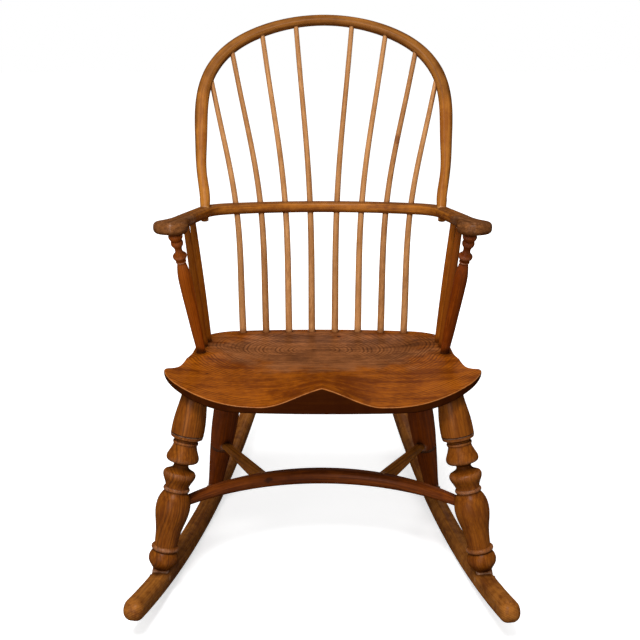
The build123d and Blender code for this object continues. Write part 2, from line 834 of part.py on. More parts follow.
# ---------------------------------------------------------------- legs and rockers
with BuildPart() as front_leg:
    add(front_leg_blank)
    add(rocker_blank.part, mode=Mode.SUBTRACT)
    add(seat_blank.part, mode=Mode.SUBTRACT)
    add(foot_tenon(front_base, front_along))
    add(head_tenon(front_tip, front_along, front_tenon_radius, front_tenon_length))
    add([bow_tenon(glue_gap, end_gap), peg_holes[0]], mode=Mode.SUBTRACT)
finish_pair(front_leg, "front_leg")

with BuildPart() as rear_leg:
    add(rear_leg_blank)
    add(rocker_blank.part, mode=Mode.SUBTRACT)
    add(seat_blank.part, mode=Mode.SUBTRACT)
    add(foot_tenon(rear_base, rear_along))
    add(head_tenon(rear_tip, rear_along, rear_tenon_radius, rear_tenon_length))
    add([spur_leg_tenon(glue_gap, end_gap), peg_holes[1]], mode=Mode.SUBTRACT)
finish_pair(rear_leg, "rear_leg")

with BuildPart() as rocker:
    add(rocker_blank.part)
    add([*foot_mortises, *peg_holes], mode=Mode.SUBTRACT)
finish_pair(rocker, "rocker")

with BuildPart() as rocker_pegs:
    add(both([peg(front_base, front_along), peg(rear_base, rear_along)]))
finish(rocker_pegs, "rocker_pegs")

# ---------------------------------------------------------------- stretchers
with BuildPart() as crinoline_stretcher:
    add(bow_blank)
    add(both([front_leg_blank]), mode=Mode.SUBTRACT)
    add(both([bow_tenon()]))
    add(both([spur_bow_tenon(glue_gap, end_gap)]), mode=Mode.SUBTRACT)
finish(crinoline_stretcher, "crinoline_stretcher")

with BuildPart() as spur:
    add(spur_blank)
    add(bow_blank, mode=Mode.SUBTRACT)
    add(rear_leg_blank, mode=Mode.SUBTRACT)
    add([spur_bow_tenon(), spur_leg_tenon()])
finish_pair(spur, "spur")
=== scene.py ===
import logging
import math
from collections.abc import Sequence
from dataclasses import dataclass, replace
from enum import Enum
from typing import ClassVar

import bpy
import numpy as np
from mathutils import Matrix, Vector


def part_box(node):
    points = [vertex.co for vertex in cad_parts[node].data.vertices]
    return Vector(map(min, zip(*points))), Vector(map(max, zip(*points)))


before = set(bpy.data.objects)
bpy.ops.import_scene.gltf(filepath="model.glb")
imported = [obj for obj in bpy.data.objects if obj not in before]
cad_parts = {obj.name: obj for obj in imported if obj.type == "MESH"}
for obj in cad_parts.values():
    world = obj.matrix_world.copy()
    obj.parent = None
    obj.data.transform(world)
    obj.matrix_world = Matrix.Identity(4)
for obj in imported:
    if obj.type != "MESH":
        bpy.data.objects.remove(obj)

LOG = logging.getLogger("rocking_chair")

Colour = tuple[float, float, float]
Triple = tuple[float, float, float]
Pair = tuple[float, float]
Socket = bpy.types.NodeSocket
Sockets = dict[str, Socket]
Value = float | Sequence[float] | Socket


# ---------------------------------------------------------------- shader graphs
class Graph:
    """Short ways to add and join the nodes of one shader tree."""

    def __init__(self, tree: bpy.types.NodeTree) -> None:
        """Work on a node tree."""
        self.tree = tree

    def add(self, kind: str, **settings: object) -> bpy.types.Node:
        """Add a node.

        Args:
            kind: Blender's name for the type of node.
            settings: Properties to set on it.

        Returns:
            The new node.
        """
        node = self.tree.nodes.new(kind)
        for name, setting in settings.items():
            setattr(node, name, setting)
        return node

    def feed(self, socket: Socket, value: Value) -> None:
        """Join a socket to another one, or give it a plain value.

        Args:
            socket: The input to feed.
            value: A number, a vector, a colour of three parts, or an output socket.
        """
        if isinstance(value, bpy.types.NodeSocket):
            self.tree.links.new(value, socket)
        elif socket.type == "RGBA" and len(value) == 3:
            socket.default_value = (*value, 1.0)
        else:
            socket.default_value = value

    def surface(self, output: str) -> Socket:
        """The Object or Normal coordinate of the surface; Object is the place on the chair."""
        return self.add("ShaderNodeTexCoord").outputs[output]

    def reckon(self, operation: str, *values: Value, clamp: bool = False) -> Socket:
        """Reckon with numbers.

        Args:
            operation: Blender's name for the operation.
            values: The numbers.
            clamp: Whether the result is held between 0 and 1.

        Returns:
            The result.
        """
        node = self.add("ShaderNodeMath", operation=operation, use_clamp=clamp)
        for socket, value in zip(node.inputs, values):
            self.feed(socket, value)
        return node.outputs[0]

    def plus(self, first: Value, second: Value) -> Socket:
        """The first number and the second together."""
        return self.reckon("ADD", first, second)

    def less(self, first: Value, second: Value) -> Socket:
        """The first number less the second."""
        return self.reckon("SUBTRACT", first, second)

    def times(self, first: Value, second: Value) -> Socket:
        """The first number times the second."""
        return self.reckon("MULTIPLY", first, second)

    def swing(self, value: Socket, amount: Value) -> Socket:
        """A value between 0 and 1, made to swing about 0 by an amount."""
        return self.times(self.less(value, 0.5), amount)

    def vector(self, operation: str, *values: Value) -> Socket:
        """Reckon with vectors.

        Args:
            operation: Blender's name for the operation.
            values: The vectors.

        Returns:
            The result: a number for a dot product or a length, and otherwise a vector.
        """
        node = self.add("ShaderNodeVectorMath", operation=operation)
        for socket, value in zip(node.inputs, values):
            self.feed(socket, value)
        return node.outputs["Value" if operation in ("DOT_PRODUCT", "LENGTH") else "Vector"]

    def scaled(self, vector: Value, by: Value) -> Socket:
        """Make a vector longer.

        Args:
            vector: The vector.
            by: How many times longer.

        Returns:
            The longer vector.
        """
        node = self.add("ShaderNodeVectorMath", operation="SCALE")
        self.feed(node.inputs["Vector"], vector)
        self.feed(node.inputs["Scale"], by)
        return node.outputs["Vector"]

    def split(self, vector: Socket) -> tuple[Socket, Socket, Socket]:
        """Take a vector apart.

        Args:
            vector: The vector.

        Returns:
            Its three numbers.
        """
        node = self.add("ShaderNodeSeparateXYZ")
        self.feed(node.inputs[0], vector)
        return node.outputs[0], node.outputs[1], node.outputs[2]

    def joined(self, *parts: Value) -> Socket:
        """Make a vector.

        Args:
            parts: Its three numbers.

        Returns:
            The vector.
        """
        node = self.add("ShaderNodeCombineXYZ")
        for socket, part in zip(node.inputs, parts):
            self.feed(socket, part)
        return node.outputs[0]

    def noise(self, at: Socket, seed: Value, layers: float, strength: float) -> Socket:
        """Smooth noise between 0 and 1.

        Args:
            at: Where it is read; one unit is about one blotch.
            seed: Which pattern it is.
            layers: How many finer layers it has.
            strength: How strong they are.

        Returns:
            The value of the noise.
        """
        node = self.add("ShaderNodeTexNoise", noise_dimensions="4D")
        self.feed(node.inputs["Vector"], at)
        self.feed(node.inputs["W"], seed)
        self.feed(node.inputs["Scale"], 1.0)
        self.feed(node.inputs["Detail"], layers)
        self.feed(node.inputs["Roughness"], strength)
        return node.outputs["Fac"]

    def span(self, value: Socket, step: Sequence[Value], ends: Sequence[Value] = (0.0, 1.0)) -> Socket:
        """A smooth step of a value.

        Args:
            value: The value to map.
            step: Where the step begins and where it ends.
            ends: The results there.

        Returns:
            The mapped value.
        """
        node = self.add("ShaderNodeMapRange", interpolation_type="SMOOTHSTEP")
        for socket, given in zip(node.inputs, (value, *step, *ends)):
            self.feed(socket, given)
        return node.outputs["Result"]

    def chosen(self, share: Value, first: Value, second: Value) -> Socket:
        """A mix of two numbers.

        Args:
            share: How much of the second is in the mix.
            first: The number at a share of 0.
            second: The number at a share of 1.

        Returns:
            The mixed number.
        """
        node = self.add("ShaderNodeMix", data_type="FLOAT")
        for number, value in ((0, share), (2, first), (3, second)):
            self.feed(node.inputs[number], value)
        return node.outputs[0]

    def blend(self, share: Value, first: Value, second: Value) -> Socket:
        """A mix of two colours.

        Args:
            share: How much of the second is in the mix.
            first: The colour at a share of 0.
            second: The colour at a share of 1.

        Returns:
            The mixed colour.
        """
        node = self.add("ShaderNodeMix", data_type="RGBA")
        for number, value in ((0, share), (6, first), (7, second)):
            self.feed(node.inputs[number], value)
        return node.outputs[2]


class Kind(Enum):
    """The kinds of socket that the shared effects have."""

    NUMBER = "NodeSocketFloat"
    VECTOR = "NodeSocketVector"


class Effect:
    """A shader effect that several materials share, kept as one node group.

    Attributes:
        name: The name of the node group.
        vectors: Its inputs that are places or ways.
        numbers: Its inputs that are numbers.
        gives: Its outputs.
        kind: What the outputs are.
    """

    name: ClassVar[str]
    vectors: ClassVar[tuple[str, ...]] = ()
    numbers: ClassVar[tuple[str, ...]] = ()
    gives: ClassVar[tuple[str, ...]]
    kind: ClassVar[Kind] = Kind.NUMBER

    def wire(self, graph: Graph, given: Sockets) -> Sockets:
        """Build the inside of the node group from its inputs, and return its outputs, both by name."""
        raise NotImplementedError

    def tree(self) -> bpy.types.NodeTree:
        """The node group, built on its first use.

        Returns:
            The tree of the group.
        """
        known = bpy.data.node_groups.get(self.name)
        if known:
            return known
        tree = bpy.data.node_groups.new(self.name, "ShaderNodeTree")
        for kind, names in ((Kind.VECTOR, self.vectors), (Kind.NUMBER, self.numbers)):
            for name in names:
                tree.interface.new_socket(name, in_out="INPUT", socket_type=kind.value)
        for name in self.gives:
            tree.interface.new_socket(name, in_out="OUTPUT", socket_type=self.kind.value)
        graph = Graph(tree)
        entry = graph.add("NodeGroupInput")
        leave = graph.add("NodeGroupOutput")
        made = self.wire(graph, {name: entry.outputs[name] for name in self.vectors + self.numbers})
        for name in self.gives:
            graph.feed(leave.inputs[name], made[name])
        return tree

    def place(self, graph: Graph, **values: Value) -> Sockets:
        """Put the effect into a material.

        Args:
            graph: The material's graph.
            values: Its inputs, by name, with _ for each space.

        Returns:
            Its outputs by name.
        """
        node = graph.add("ShaderNodeGroup", node_tree=self.tree())
        for name, value in values.items():
            graph.feed(node.inputs[name.replace("_", " ")], value)
        return {name: node.outputs[name] for name in self.gives}


# ---------------------------------------------------------------- where the grain runs
class StraightStock(Effect):
    """A place on the chair as one on a straight piece: along it, across it and through it."""

    name = "straight stock"
    vectors = ("Origin", "Along", "Across")
    gives = ("Point",)
    kind = Kind.VECTOR

    def wire(self, graph: Graph, given: Sockets) -> Sockets:
        """Measure the place along the three ways of the piece.

        Args:
            graph: The group's graph.
            given: Its inputs by name.

        Returns:
            Its outputs by name.
        """
        arm = graph.vector("SUBTRACT", graph.surface("Object"), given["Origin"])
        through = graph.vector("CROSS_PRODUCT", given["Along"], given["Across"])
        ways = (given["Along"], given["Across"], through)
        return {"Point": graph.joined(*(graph.vector("DOT_PRODUCT", arm, way) for way in ways))}


class BentRun(Effect):
    """An arc unrolled: the run along it, and how far outside it a point lies."""

    name = "bent run"
    vectors = ("Point", "Centre")
    numbers = ("Radius", "Start", "Turn", "Run Before")
    gives = ("Run", "Offset", "Past")

    def wire(self, graph: Graph, given: Sockets) -> Sockets:
        """Measure the point round the centre of the arc.

        Args:
            graph: The group's graph.
            given: Its inputs by name.

        Returns:
            Its outputs by name.
        """
        x, y, _ = graph.split(graph.vector("SUBTRACT", given["Point"], given["Centre"]))
        past = graph.less(graph.reckon("ARCTAN2", x, y), given["Start"])
        reach = graph.vector("LENGTH", graph.joined(x, y, 0.0))
        return {
            "Run": graph.plus(graph.times(past, given["Radius"]), given["Run Before"]),
            "Offset": graph.less(reach, given["Radius"]),
            "Past": graph.reckon("GREATER_THAN", past, given["Turn"]),
        }


STRAIGHT_STOCK = StraightStock()
BENT_RUN = BentRun()


@dataclass(frozen=True)
class Billet:
    """Straight stock: the grain runs one way through the whole piece.

    Attributes:
        origin: A point on its axis, in metres.
        along: The way the grain runs.
        across: A way square to it.
    """

    origin: Triple
    along: Triple
    across: Triple

    @classmethod
    def of(cls, piece: bpy.types.Object) -> "Billet":
        """Find the axis of a long straight piece from its own mesh.

        Args:
            piece: The object.

        Returns:
            Its stock, with the grain along the piece.
        """
        enough = 4000
        count = len(piece.data.vertices)
        points = np.empty(count * 3)
        piece.data.vertices.foreach_get("co", points)
        points = points.reshape(count, 3)
        centre = points.mean(axis=0)
        _, _, ways = np.linalg.svd(points[:: max(1, count // enough)] - centre, full_matrices=False)
        along = Vector(ways[0]) * (1 if ways[0][2] > 0 else -1)
        across = Vector((0, 1, 0)).cross(along).normalized()
        return cls(tuple(centre), tuple(along), tuple(across))

    def spot(self, place: Triple) -> Triple:
        """Say where a place on the chair is in the stock's own directions.

        Args:
            place: The place, in metres.

        Returns:
            How far it lies along, across and through the stock.
        """
        arm = Vector(place) - Vector(self.origin)
        along, across = Vector(self.along), Vector(self.across)
        return (arm.dot(along), arm.dot(across), arm.dot(along.cross(across)))

    def low_end(self, piece: bpy.types.Object) -> float:
        """Where along the grain the piece begins, past the origin."""
        start, along = Vector(self.origin), Vector(self.along)
        return min((vertex.co - start).dot(along) for vertex in piece.data.vertices)

    def point(self, graph: Graph) -> Socket:
        """Where a point of the surface lies in the stock."""
        placed = STRAIGHT_STOCK.place(graph, Origin=self.origin, Along=self.along, Across=self.across)
        return placed["Point"]


@dataclass(frozen=True)
class BentStock:
    """Steam-bent stock: the grain follows the bend, the same way to both sides of its middle.

    Attributes:
        origin: The middle of the bend on its own line, in metres.
        sideways: The way from there along the piece.
        outwards: The way out of the bend, square to it.
        bends: Radius and turn, in degrees, of each arc from the middle outwards.
        straight_end: Whether the last arc runs on into a straight.
    """

    origin: Triple
    sideways: Triple
    outwards: Triple
    bends: tuple[Pair, ...]
    straight_end: bool = False

    def point(self, graph: Graph) -> Socket:
        """Find where a point of the surface lies in the stock before it was bent.

        Args:
            graph: The material's graph.

        Returns:
            Its place along the stock from the middle, out of the bend and through.
        """
        flat = Billet(self.origin, self.sideways, self.outwards).point(graph)
        x, y, through = graph.split(flat)
        folded = graph.joined(graph.reckon("ABSOLUTE", x), y, 0.0)
        at, heading, before = Vector((0.0, 0.0)), 0.0, 0.0
        run: Value = 0.0
        offset: Value = 0.0
        past: Value = 1.0
        for radius, degrees in self.bends:
            turn = math.radians(degrees)
            centre = at - Vector((math.sin(heading), math.cos(heading))) * radius
            arc = BENT_RUN.place(
                graph,
                Point=folded,
                Centre=(*centre, 0.0),
                Radius=radius,
                Start=heading,
                Turn=turn,
                Run_Before=before,
            )
            run = graph.chosen(past, run, arc["Run"])
            offset = graph.chosen(past, offset, arc["Offset"])
            past = graph.times(past, arc["Past"])
            heading += turn
            before += radius * turn
            at = centre + Vector((math.sin(heading), math.cos(heading))) * radius
        if self.straight_end:
            arm = graph.vector("SUBTRACT", folded, (*at, 0.0))
            onwards = (math.cos(heading), -math.sin(heading), 0.0)
            outwards = (math.sin(heading), math.cos(heading), 0.0)
            ahead = graph.vector("DOT_PRODUCT", arm, onwards)
            run = graph.chosen(past, run, graph.plus(ahead, before))
            offset = graph.chosen(past, offset, graph.vector("DOT_PRODUCT", arm, outwards))
        return graph.joined(graph.times(run, graph.reckon("SIGN", x)), offset, through)


# ---------------------------------------------------------------- effects on the wood
@dataclass(frozen=True)
class GrowthRings(Effect):
    """Growth rings round a pith that lies beside the piece, closing a little along it.

    Attributes:
        sway_scale: How close the slow wanderings of a ring lie, along, across and through.
        shiver_scale: The same for its quick ones.
        late_rise: From where to where in a year the late wood darkens.
        late_drop: From where to where it stops.
        early_end: Where in a year the early wood has ended.
        weakest: How dark the faintest year is, as a share of the darkest.
    """

    name = "growth rings"
    vectors = ("Point", "Pith")
    numbers = ("Ring Width", "Taper", "Waver", "Ripple", "Seed")
    gives = ("Late", "Early", "Year Tone")

    sway_scale: Triple = (6.0, 13.0, 13.0)
    shiver_scale: Triple = (45.0, 140.0, 140.0)
    late_rise: Pair = (0.35, 0.85)
    late_drop: Pair = (0.9, 1.0)
    early_end: float = 0.38
    weakest: float = 0.25

    def wire(self, graph: Graph, given: Sockets) -> Sockets:
        """Measure how far the pith is and see which year that falls in.

        Args:
            graph: The group's graph.
            given: Its inputs by name.

        Returns:
            Its outputs by name.
        """
        point, seed = given["Point"], given["Seed"]
        along, across, through = graph.split(graph.vector("SUBTRACT", point, given["Pith"]))
        closing = graph.times(along, given["Taper"])
        slow = graph.vector("MULTIPLY", point, self.sway_scale)
        quick = graph.vector("MULTIPLY", point, self.shiver_scale)
        sway = graph.noise(slow, seed, layers=3.0, strength=0.5)
        shiver = graph.noise(quick, seed, layers=2.0, strength=0.5)
        radius = graph.vector("LENGTH", graph.joined(closing, across, through))
        radius = graph.plus(radius, graph.swing(sway, given["Waver"]))
        radius = graph.plus(radius, graph.swing(shiver, given["Ripple"]))
        year = graph.reckon("DIVIDE", radius, given["Ring Width"])
        season = graph.reckon("FRACT", year)
        dice = graph.add("ShaderNodeTexWhiteNoise", noise_dimensions="1D")
        graph.feed(dice.inputs["W"], graph.plus(graph.reckon("FLOOR", year), seed))
        which = dice.outputs["Value"]
        rise = graph.span(season, self.late_rise)
        drop = graph.span(season, self.late_drop, (1.0, 0.0))
        vigour = graph.span(which, (0.0, 1.0), (self.weakest, 1.0))
        return {
            "Late": graph.times(graph.times(rise, drop), vigour),
            "Early": graph.span(season, (0.0, self.early_end), (1.0, 0.0)),
            "Year Tone": which,
        }


@dataclass(frozen=True)
class Fibres(Effect):
    """Long streaks, and the fine open pores between them.

    Attributes:
        broad: Length and width of the broad streaks, in metres.
        fine: Of the fine streaks.
        fleck: Of the short pores.
        line: Of the long pores.
        broad_share: How much of the streaks is broad.
        streak_step: From which value to which the streaks turn pale.
        fleck_step: From which value to which there is a short pore.
        line_step: The same for a long pore.
        line_seed: What sets the pattern of the long pores apart.
    """

    name = "fibres"
    vectors = ("Point",)
    numbers = ("Density", "Seed")
    gives = ("Streaks", "Pores")

    broad: Pair = (0.16, 0.007)
    fine: Pair = (0.05, 0.0016)
    fleck: Pair = (0.012, 0.00065)
    line: Pair = (0.035, 0.0011)
    broad_share: float = 0.6
    streak_step: Pair = (0.36, 0.64)
    fleck_step: Pair = (0.6, 0.75)
    line_step: Pair = (0.62, 0.78)
    line_seed: float = 7.3

    def wire(self, graph: Graph, given: Sockets) -> Sockets:
        """Draw each size of fibre and put them together.

        Args:
            graph: The group's graph.
            given: Its inputs by name.

        Returns:
            Its outputs by name.
        """
        parts = graph.split(given["Point"])
        seed = given["Seed"]

        def stretched(size: Pair) -> Socket:
            """The point, in lengths and widths of a fibre."""
            sizes = (size[0], size[1], size[1])
            return graph.joined(*(graph.reckon("DIVIDE", part, by) for part, by in zip(parts, sizes)))

        wide = graph.scaled(stretched(self.broad), given["Density"])
        narrow = graph.scaled(stretched(self.fine), given["Density"])
        other_seed = graph.plus(seed, self.line_seed)
        broad = graph.noise(wide, seed, layers=3.0, strength=0.6)
        fine = graph.noise(narrow, seed, layers=2.0, strength=0.55)
        flecks = graph.noise(stretched(self.fleck), seed, layers=1.0, strength=0.5)
        lines = graph.noise(stretched(self.line), other_seed, layers=2.0, strength=0.6)
        streaks = graph.plus(
            graph.times(broad, self.broad_share),
            graph.times(fine, 1.0 - self.broad_share),
        )
        short, long = graph.span(flecks, self.fleck_step), graph.span(lines, self.line_step)
        return {
            "Streaks": graph.span(streaks, self.streak_step),
            "Pores": graph.reckon("MAXIMUM", short, long),
        }


@dataclass(frozen=True)
class PatinaAndShade(Effect):
    """Cloudy stain, dark wax in the hollows with painted shade where parts come near each other, painted
    shade on what faces down, and arrises rubbed pale with a painted highlight on their crests.

    Attributes:
        cloud_scale: How close the clouds of the stain lie.
        mottle_scale: How close its spots lie.
        blotch_step: From which value to which a cloud or a spot is full.
        grime_and_shade_step: From how open to how closed a corner fills with wax and painted shade.
        worn_step: From how thick to how thin an arris is rubbed pale and given a painted highlight.
        rub_step: From which spot to which the rubbing comes through.
        rub_least: How much of it is there between them.
        under_shade_step: From which slope to which a face that points down gets painted shade.
        samples: How many rays look for hollows and arrises.
    """

    name = "patina and shade"
    numbers = ("Hollow Size", "Ridge Size", "Seed")
    gives = ("Cloud", "Mottle", "Grime And Shade", "Worn", "Under")

    cloud_scale: float = 14.0
    mottle_scale: float = 75.0
    blotch_step: Pair = (0.3, 0.7)
    grime_and_shade_step: Pair = (0.9, 0.5)
    worn_step: Pair = (0.85, 0.5)
    rub_step: Pair = (0.38, 0.62)
    rub_least: float = 0.35
    under_shade_step: Pair = (0.1, -0.8)
    samples: int = 8

    def wire(self, graph: Graph, given: Sockets) -> Sockets:
        """Find the clouds, the hollows and the arrises.

        Args:
            graph: The group's graph.
            given: Its inputs by name.

        Returns:
            Its outputs by name.
        """
        place, seed = graph.surface("Object"), given["Seed"]
        cloud = graph.noise(graph.scaled(place, self.cloud_scale), seed, layers=4.0, strength=0.6)
        mottle = graph.noise(graph.scaled(place, self.mottle_scale), seed, layers=3.0, strength=0.6)
        occlusion = "ShaderNodeAmbientOcclusion"
        # Dark wax in the hollows, and painted shade where other parts come near, since this occlusion also
        # finds them.
        hollow = graph.add(occlusion, samples=self.samples, inside=False, only_local=False)
        graph.feed(hollow.inputs["Distance"], given["Hollow Size"])
        # Rubbed arrises, with a painted highlight on their crests.
        ridge = graph.add(occlusion, samples=self.samples, inside=True, only_local=True)
        graph.feed(ridge.inputs["Distance"], given["Ridge Size"])
        worn = graph.span(ridge.outputs["AO"], self.worn_step)
        # Painted shade on faces that point down.
        _, _, up = graph.split(graph.surface("Normal"))
        return {
            "Cloud": graph.span(cloud, self.blotch_step),
            "Mottle": graph.span(mottle, self.blotch_step),
            "Grime And Shade": graph.span(hollow.outputs["AO"], self.grime_and_shade_step),
            "Worn": graph.times(worn, graph.span(mottle, self.rub_step, (self.rub_least, 1.0))),
            "Under": graph.span(up, self.under_shade_step),
        }


@dataclass(frozen=True)
class Rim(Effect):
    """Where a board's face turns over into its edge: painted shade on the edge, and a painted highlight,
    partly rubbed wear, along the line above it.

    Attributes:
        edge_shade_step: From which slope to which the edge gets painted shade.
        front_step: From how far it faces rearwards to how far forwards the painted shade gets darkest.
        back_share: How dark it is behind, as a share of in front.
        line_step: From which slope to which the painted highlight along the rim begins.
        line_stop: From which to which it ends.
        break_scale: How close the gaps in the line lie.
        break_step: From which value to which a gap closes.
        break_least: How much of the line is left in a gap.
    """

    name = "rim"
    vectors = ("Point",)
    gives = ("Edge", "Line")

    edge_shade_step: Pair = (0.62, 0.3)
    front_step: Pair = (0.3, -0.5)
    back_share: float = 0.35
    line_step: Pair = (0.5, 0.7)
    line_stop: Pair = (0.8, 0.88)
    break_scale: float = 60.0
    break_step: Pair = (0.3, 0.6)
    break_least: float = 0.4

    def wire(self, graph: Graph, given: Sockets) -> Sockets:
        """Tell the edge and the line from the slope of the surface.

        Args:
            graph: The group's graph.
            given: Its inputs by name.

        Returns:
            Its outputs by name.
        """
        # Painted shade on the edge, darkest in front, and a painted highlight, partly rubbed wear, on the
        # rounded rim.
        _, rearwards, up = graph.split(graph.surface("Normal"))
        dark = graph.span(rearwards, self.front_step, (self.back_share, 1.0))
        line = graph.times(graph.span(up, self.line_step), graph.span(up, self.line_stop, (1.0, 0.0)))
        place = graph.scaled(given["Point"], self.break_scale)
        gaps = graph.noise(place, seed=2.0, layers=3.0, strength=0.6)
        return {
            "Edge": graph.times(graph.span(up, self.edge_shade_step), dark),
            "Line": graph.times(line, graph.span(gaps, self.break_step, (self.break_least, 1.0))),
        }


@dataclass(frozen=True)
class Patch(Effect):
    """A place that is touched a lot, with a soft uneven edge.

    Attributes:
        blotch_scale: How close the blotches of its edge lie.
        unevenness: How far they move it, as a share of its reach.
        fade: From how much of its reach to how much it fades.
    """

    name = "patch"
    vectors = ("Point", "Centre", "Reach")
    numbers = ("Seed",)
    gives = ("Patch",)

    blotch_scale: float = 22.0
    unevenness: float = 1.1
    fade: Pair = (0.65, 1.1)

    def wire(self, graph: Graph, given: Sockets) -> Sockets:
        """Measure how much of its reach a point lies from the middle.

        Args:
            graph: The group's graph.
            given: Its inputs by name.

        Returns:
            Its outputs by name.
        """
        arm = graph.vector("SUBTRACT", given["Point"], given["Centre"])
        reach = graph.vector("LENGTH", graph.vector("DIVIDE", arm, given["Reach"]))
        place = graph.scaled(given["Point"], self.blotch_scale)
        blotches = graph.noise(place, given["Seed"], layers=4.0, strength=0.6)
        edge = graph.plus(reach, graph.swing(blotches, self.unevenness))
        return {"Patch": graph.span(edge, self.fade, (1.0, 0.0))}


@dataclass(frozen=True)
class Knot(Effect):
    """A small dark knot with a darker halo, drawn out along the grain.

    Attributes:
        drawn_out: How much a length along the grain counts.
        ragged_scale: How close the tears of its edge lie.
        raggedness: How far they go, as a share of its size.
        fade: From how much of its size to how much the knot fades.
        halo_fade: The same for the halo.
    """

    name = "knot"
    vectors = ("Point", "Centre")
    numbers = ("Size",)
    gives = ("Knot", "Halo")

    drawn_out: float = 0.55
    ragged_scale: float = 260.0
    raggedness: float = 1.6
    fade: Pair = (0.5, 1.1)
    halo_fade: Pair = (0.8, 3.4)

    def wire(self, graph: Graph, given: Sockets) -> Sockets:
        """Measure how far a point lies from the middle, in sizes of the knot.

        Args:
            graph: The group's graph.
            given: Its inputs by name.

        Returns:
            Its outputs by name.
        """
        arm = graph.vector("SUBTRACT", given["Point"], given["Centre"])
        along, across, through = graph.split(arm)
        oval = graph.joined(graph.times(along, self.drawn_out), across, through)
        reach = graph.reckon("DIVIDE", graph.vector("LENGTH", oval), given["Size"])
        place = graph.scaled(given["Point"], self.ragged_scale)
        ragged = graph.noise(place, seed=3.0, layers=3.0, strength=0.7)
        edge = graph.plus(reach, graph.swing(ragged, self.raggedness))
        return {
            "Knot": graph.span(edge, self.fade, (1.0, 0.0)),
            "Halo": graph.span(reach, self.halo_fade, (1.0, 0.0)),
        }


GROWTH_RINGS = GrowthRings()
FIBRES = Fibres()
PATINA_AND_SHADE = PatinaAndShade()
RIM = Rim()
PATCH = Patch()
KNOT = Knot()


# ---------------------------------------------------------------- the waxed finish
@dataclass(frozen=True)
class Log:
    """Where in its log a piece was cut.

    Attributes:
        seed: Which pattern of streaks, sways and clouds it has.
        pith: Where the middle of the log lies from the piece's own axis, in metres.
        ring_width: The growth of one year.
        taper: How fast the rings close along the piece.
        tone: How pale its wood is, from 0 to 1.
    """

    seed: float
    pith: Triple = (0.0, 0.05, 0.03)
    ring_width: float = 0.0032
    taper: float = 0.0
    tone: float = 0.5

    @classmethod
    def numbered(cls, number: int, distance: float, ring_width: float) -> "Log":
        """One of many like pieces, each turned another way in its log and of its own tone.

        Args:
            number: Which of the pieces it is.
            distance: How far off the pith lies, in metres.
            ring_width: The growth of one year.

        Returns:
            Its place in the log.
        """
        golden_angle, first_angle = 137.5, 40.0
        next_seed, first_seed = 11.7, 1.3
        tone_swing, tone_turn = 0.22, 2.4
        turn = math.radians(golden_angle * number + first_angle)
        pith = (0.0, distance * math.cos(turn), distance * math.sin(turn))
        tone = cls.tone + tone_swing * math.sin(tone_turn * number)
        return cls(next_seed * number + first_seed, pith, ring_width, taper=0.12, tone=tone)


@dataclass(frozen=True)
class Flaw:
    """A knot or nail mark at one spot.

    Attributes:
        spot: Where it is, in the stock's own directions, in metres.
        size: Its radius.
    """

    spot: Triple
    size: float


@dataclass(frozen=True)
class Touch:
    """A place where hands, clothes or a tool have changed the finish.

    Attributes:
        centre: Its middle, in the stock's own directions, in metres.
        reach: How far it goes each way.
        colour: What the wood has become there.
        amount: How strongly.
    """

    centre: Triple
    reach: Triple
    colour: Colour
    amount: float


